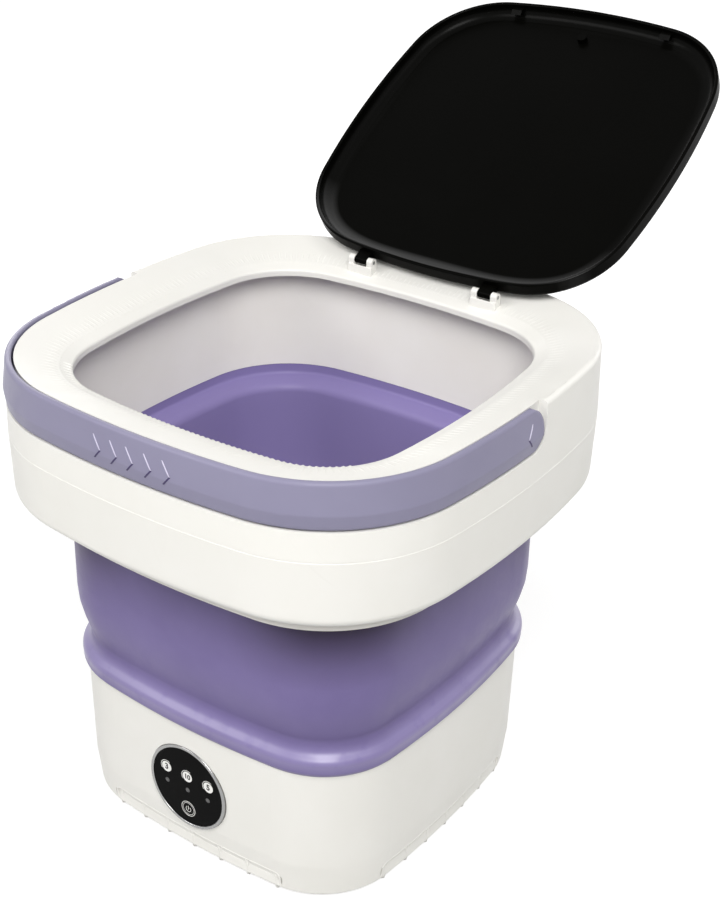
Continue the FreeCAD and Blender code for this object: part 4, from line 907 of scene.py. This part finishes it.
def foot_bands():
    """Beaded edge round the finger groove of each side and the ramp that runs out of it to the
    floor."""
    straight, shoulder = BAND_END - BAND_TURN, BAND_TOP - BAND_TURN
    left, top, right = 0.0, math.pi / 2, math.pi
    line = [(-BAND_END, BAND_LOW, left), (-BAND_END, shoulder, left)]
    for a in BAND_TURN_ANGLES:
        line.append((-straight - BAND_TURN * math.cos(a), shoulder + BAND_TURN * math.sin(a), a))
    for k in range(BAND_STEPS + 1):
        line.append((-straight + 2 * straight / BAND_STEPS * k, BAND_TOP, top))
    for a in BAND_TURN_ANGLES:
        line.append((straight + BAND_TURN * math.sin(a), shoulder + BAND_TURN * math.cos(a),
                     top + a))
    line += [(BAND_END, shoulder, right), (BAND_END, BAND_LOW, right)]
    verts, faces = [], []
    for quarter in range(4):
        rows = []
        for sideways, z, turn in line:
            over, up = -math.cos(turn), math.sin(turn)
            rows.append([foot_place(quarter, sideways + over * off, z + up * off, lift)
                         for off, lift in BEAD_SECTION])
        add_bar(verts, faces, rows)
        add_bar(verts, faces, [[foot_place(quarter, sideways, z, lift) for z, lift in RAMP_SECTION]
                               for sideways in np.linspace(-RAMP_END, RAMP_END, RAMP_STEPS)])
    piece = mesh_piece("foot_bands", verts, faces, FINISHES["white_shell"], sharp_angle=40)
    settle(piece, "base")


def seam_cord():
    """Fine sealing cord that nearly fills the groove between the collar's frame and skirt."""
    verts, faces = swept_round([(distance, SEAM_Z + z) for distance, z in CORD_SECTION])
    piece = mesh_piece("seam_cord", verts, faces, FINISHES["white_shell"], sharp_angle=50)
    settle(piece, "collar")


# Arrow marks on the handle.

HANDLE_LOW_REACH, HANDLE_BULGE = 166.9, 1.3
HANDLE_BELLY_REACH, HANDLE_FALL = 168.2, 2.6
ARROW_TOP_Z, ARROW_TIP_Z, ARROW_LOW_Z = 326.0, 317.5, 311.5
ARROW_STEPS, ARROW_END_SLOPE = 6, 7
# Tip, way it points, and how far the upper and the lower leg lie behind the tip.
FRONT_ARROWS = [(tip, 1.0, 5.7, 5.0) for tip in (-20.9, -7.7, 4.7, 18.3, 31.8)]
SIDE_ARROW = (-5.6, -1.0, 4.6, 4.3)
# Offset along the handle and lift.
CREST_SECTION = ((-0.4, -0.2), (-0.4, 0.12), (0.0, 0.45), (0.5, 0.12), (0.5, -0.2))
SHADED_LEG_SECTION = ((-0.3, -0.25), (-0.2, 0.14), (0.2, 0.2), (1.1, 0.12), (1.1, -0.25))


def handle_reach(z):
    """Distance from the middle to the handle's outer face at one height."""
    if z < HANDLE_BELLY:
        return HANDLE_LOW_REACH + (z - HANDLE_LOW) / (HANDLE_BELLY - HANDLE_LOW) * HANDLE_BULGE
    return HANDLE_BELLY_REACH - (z - HANDLE_BELLY) / (HANDLE_TOP - HANDLE_BELLY) * HANDLE_FALL


def handle_front(along, z, lift):
    return Vector((along, -bowed(handle_reach(z) + lift, along, COLLAR_BOW), z)) * MM


def handle_right(along, z, lift):
    return Vector((bowed(handle_reach(z) + lift, along, COLLAR_BOW), along, z)) * MM


def handle_left(along, z, lift):
    return Vector((-bowed(handle_reach(z) + lift, along, COLLAR_BOW), along, z)) * MM


def arrow_leg(surface, way, section, start, end):
    """Rows of section points along one leg of an arrow, which sinks away at both ends."""
    rows = []
    for k in range(ARROW_STEPS + 1):
        share = k / ARROW_STEPS
        u, z = (a + (b - a) * k / ARROW_STEPS for a, b in zip(start, end))
        fade = min(1.0, share * ARROW_END_SLOPE, (1 - share) * ARROW_END_SLOPE)
        rows.append([surface(u + way * offset, z, lift * fade if lift > 0 else lift)
                     for offset, lift in section])
    return rows


def arrow_steps():
    """Arrows with a raised upper leg in a painted highlight and a lower leg in painted shade."""
    marks = [(handle_front, *arrow) for arrow in FRONT_ARROWS]
    marks += [(handle_right, *SIDE_ARROW), (handle_left, *SIDE_ARROW)]
    crests, shaded_legs = ([], []), ([], [])
    for surface, tip, way, upper_back, lower_back in marks:
        top, low = (tip - way * upper_back, ARROW_TOP_Z), (tip - way * lower_back, ARROW_LOW_Z)
        point = (tip, ARROW_TIP_Z)
        add_bar(*crests, arrow_leg(surface, way, CREST_SECTION, top, point))
        add_bar(*shaded_legs, arrow_leg(surface, way, SHADED_LEG_SECTION, point, low))
    for name, made, paint in (("arrow_crests", crests, ARROW_PAINTED_HIGHLIGHT),
                              ("arrow_shaded_legs", shaded_legs, ARROW_PAINTED_SHADE)):
        settle(mesh_piece(name, *made, paint, sharp_angle=25), "handle")


# Marks printed on the round touch panel, in millimetres from its middle.

PRINT_LIFT, FAINT_LIFT, RING_STEP, LEAST_STEPS = 0.12, 0.06, 7, 10
BUTTONS_X, BUTTONS_Z, BUTTON_DIGITS = (-18.0, 0.0, 18.0), 8.4, ("3", "10", "5")
DIGIT_SIZES, DIGIT_WEIGHT, DIGIT_DEPTH, DIGIT_LIFT = {1: 6.2, 2: 5.2}, 0.16, 0.05, 0.03
START_Z, POWER_SIGN_Z = -18.4, -18.7
POWER_BAR = ((-0.2, -0.4), (0.2, -0.4), (0.2, 2.5), (-0.2, 2.5))
LAMPS_X, LAMPS_Z, LAMP_RADIUS = (-17.8, 0.0, 17.3), -2.6, 1.7
# Inner and outer radius, lift, and the part of the circle that is drawn.
BUTTON_RINGS = ((0.0, 4.0, PRINT_LIFT, 0, 360), (4.7, 5.05, FAINT_LIFT, 60, 215))
START_RINGS = ((5.55, 5.95, PRINT_LIFT, 0, 360), (4.5, 4.75, FAINT_LIFT, 0, 360))
POWER_RING = (1.9, 2.25, PRINT_LIFT, 125, 415)


def panel_place(x, z, lift):
    return (x * MM, (PANEL_FACE - lift) * MM, (PANEL_Z + z) * MM)


def printed_ring(verts, faces, x, z, inner, outer, lift, start=0, end=360):
    """A thin raised ring, or a disc where inner is 0, or a part of one."""
    steps = max(LEAST_STEPS, int((end - start) / RING_STEP))
    closed = end - start >= 360
    rows = steps if closed else steps + 1
    section = ((inner, 0.0), (inner, lift), (outer, lift), (outer, 0.0))
    wide, first = len(section), len(verts)
    for k in range(rows):
        angle = math.radians(start + (end - start) * k / steps)
        cos, sin = math.cos(angle), math.sin(angle)
        verts.extend(panel_place(x + radius * cos, z + radius * sin, high)
                     for radius, high in section)
    for k in range(steps):
        here, ahead = first + k * wide, first + (k + 1) % rows * wide
        for j in range(wide - 1):
            faces.append((here + j, here + j + 1, ahead + j + 1, ahead + j))
    if not closed:
        for k in (0, steps):
            faces.append([first + k * wide + j for j in range(wide)])


def panel_print():
    verts, faces = [], []
    for x in BUTTONS_X:
        for ring in BUTTON_RINGS:
            printed_ring(verts, faces, x, BUTTONS_Z, *ring)
    for ring in START_RINGS:
        printed_ring(verts, faces, 0.0, START_Z, *ring)
    printed_ring(verts, faces, 0.0, POWER_SIGN_Z, *POWER_RING)
    bar = [[panel_place(x, POWER_SIGN_Z + z, high) for x, z in POWER_BAR]
           for high in (0.0, PRINT_LIFT)]
    add_bar(verts, faces, bar, start_cap=False)
    settle(mesh_piece("panel_marks", verts, faces, PRINT), "base")
    verts, faces = [], []
    for x in LAMPS_X:
        printed_ring(verts, faces, x, LAMPS_Z, 0.0, LAMP_RADIUS, PRINT_LIFT)
    settle(mesh_piece("panel_lamps", verts, faces, LAMP_GREY), "base")
    verts, faces = [], []
    for x, digits in zip(BUTTONS_X, BUTTON_DIGITS):
        words = bpy.data.curves.new("digits", "FONT")
        words.body = digits
        words.align_x, words.align_y = "CENTER", "CENTER"
        words.size = DIGIT_SIZES[len(digits)]
        words.offset, words.extrude = DIGIT_WEIGHT, DIGIT_DEPTH
        mesh = plain_mesh(add_object("digits", words))
        first, lift = len(verts), PRINT_LIFT + DIGIT_LIFT
        verts.extend(panel_place(x + v.co.x, BUTTONS_Z + v.co.y, lift + v.co.z)
                     for v in mesh.vertices)
        faces.extend([first + i for i in polygon.vertices] for polygon in mesh.polygons)
        bpy.data.meshes.remove(mesh)
    settle(mesh_piece("panel_digits", verts, faces, PRINT_DARK), "base")


# Small snap clips on the inside of the lid, and low sills that close the front of the two hinge
# brackets below the knuckles.

CLIPS_X, CLIP_HALF = (-62.0, 62.0), 4.2
# Distance from the hinge line and depth below the closed lid's top.
CLIP_OUTLINE = (
    (256.4, 2.4), (256.4, 9.4), (252.4, 9.4), (249.2, 7.6), (252.8, 6.6), (252.0, 2.4))
SILL_FRONT, SILL_BACK, SILL_LOW, SILL_TOP = 128.45, 129.66, 323.0, 330.3
SILL_OUTLINE = (
    (SILL_BACK, SILL_LOW), (SILL_FRONT, SILL_LOW), (SILL_FRONT, 329.6), (128.62, 330.1),
    (129.0, SILL_TOP), (SILL_BACK, SILL_TOP))
# Place across the bracket and how far the edges are set back there.
SILL_ROWS = ((-9.9, 0.35), (-9.5, 0.0), (9.5, 0.0), (9.9, 0.35))


def lid_place(x, from_hinge, depth):
    """A point of the open lid: across, away from the hinge line, below the closed lid's top."""
    angle, rise = math.radians(LID_OPEN), LID_TOP - depth - HINGE_Z
    cos, sin = math.cos(angle), math.sin(angle)
    return Vector((x, HINGE_Y - from_hinge * cos + rise * sin,
                   HINGE_Z + from_hinge * sin + rise * cos)) * MM


def lid_clips():
    verts, faces = [], []
    for x in CLIPS_X:
        add_bar(verts, faces, [[lid_place(end, *point) for point in CLIP_OUTLINE]
                               for end in (x - CLIP_HALF, x + CLIP_HALF)])
    settle(mesh_piece("lid_clips", verts, faces, FINISHES["lid_black"]), "lid")


def hinge_sills():
    verts, faces = [], []
    for middle in (-HINGE_SPACING, HINGE_SPACING):
        add_bar(verts, faces, [
            [Vector((middle + x, max(y, SILL_FRONT + inset), min(z, SILL_TOP - inset))) * MM
             for y, z in SILL_OUTLINE] for x, inset in SILL_ROWS])
    piece = mesh_piece("hinge_sills", verts, faces, FINISHES["white_shell"], sharp_angle=30)
    settle(piece, "collar")


make_camera()
make_surround()
make_floor()
make_lamps()

NODE_SLOTS = {row["node"]: row["material_slot"] for row in frame["record"]["subparts"]}
for name, node in frame["nodes"].items():
    node.data.materials.clear()
    node.data.materials.append(FINISHES[NODE_SLOTS[name]])

folding_wall()
ring_ribs("ring_ribs", RING_RIBS, start=LIP_TOP - RIB_LIP_LAP, fading=1.25, front_only=False)
ring_ribs("lip_teeth", LIP_TEETH, start=LIP_EDGE + TOOTH_INSET, fading=1.0, front_only=True)
foot_ribs()
foot_bands()
seam_cord()
arrow_steps()
panel_print()
lid_clips()
hinge_sills()
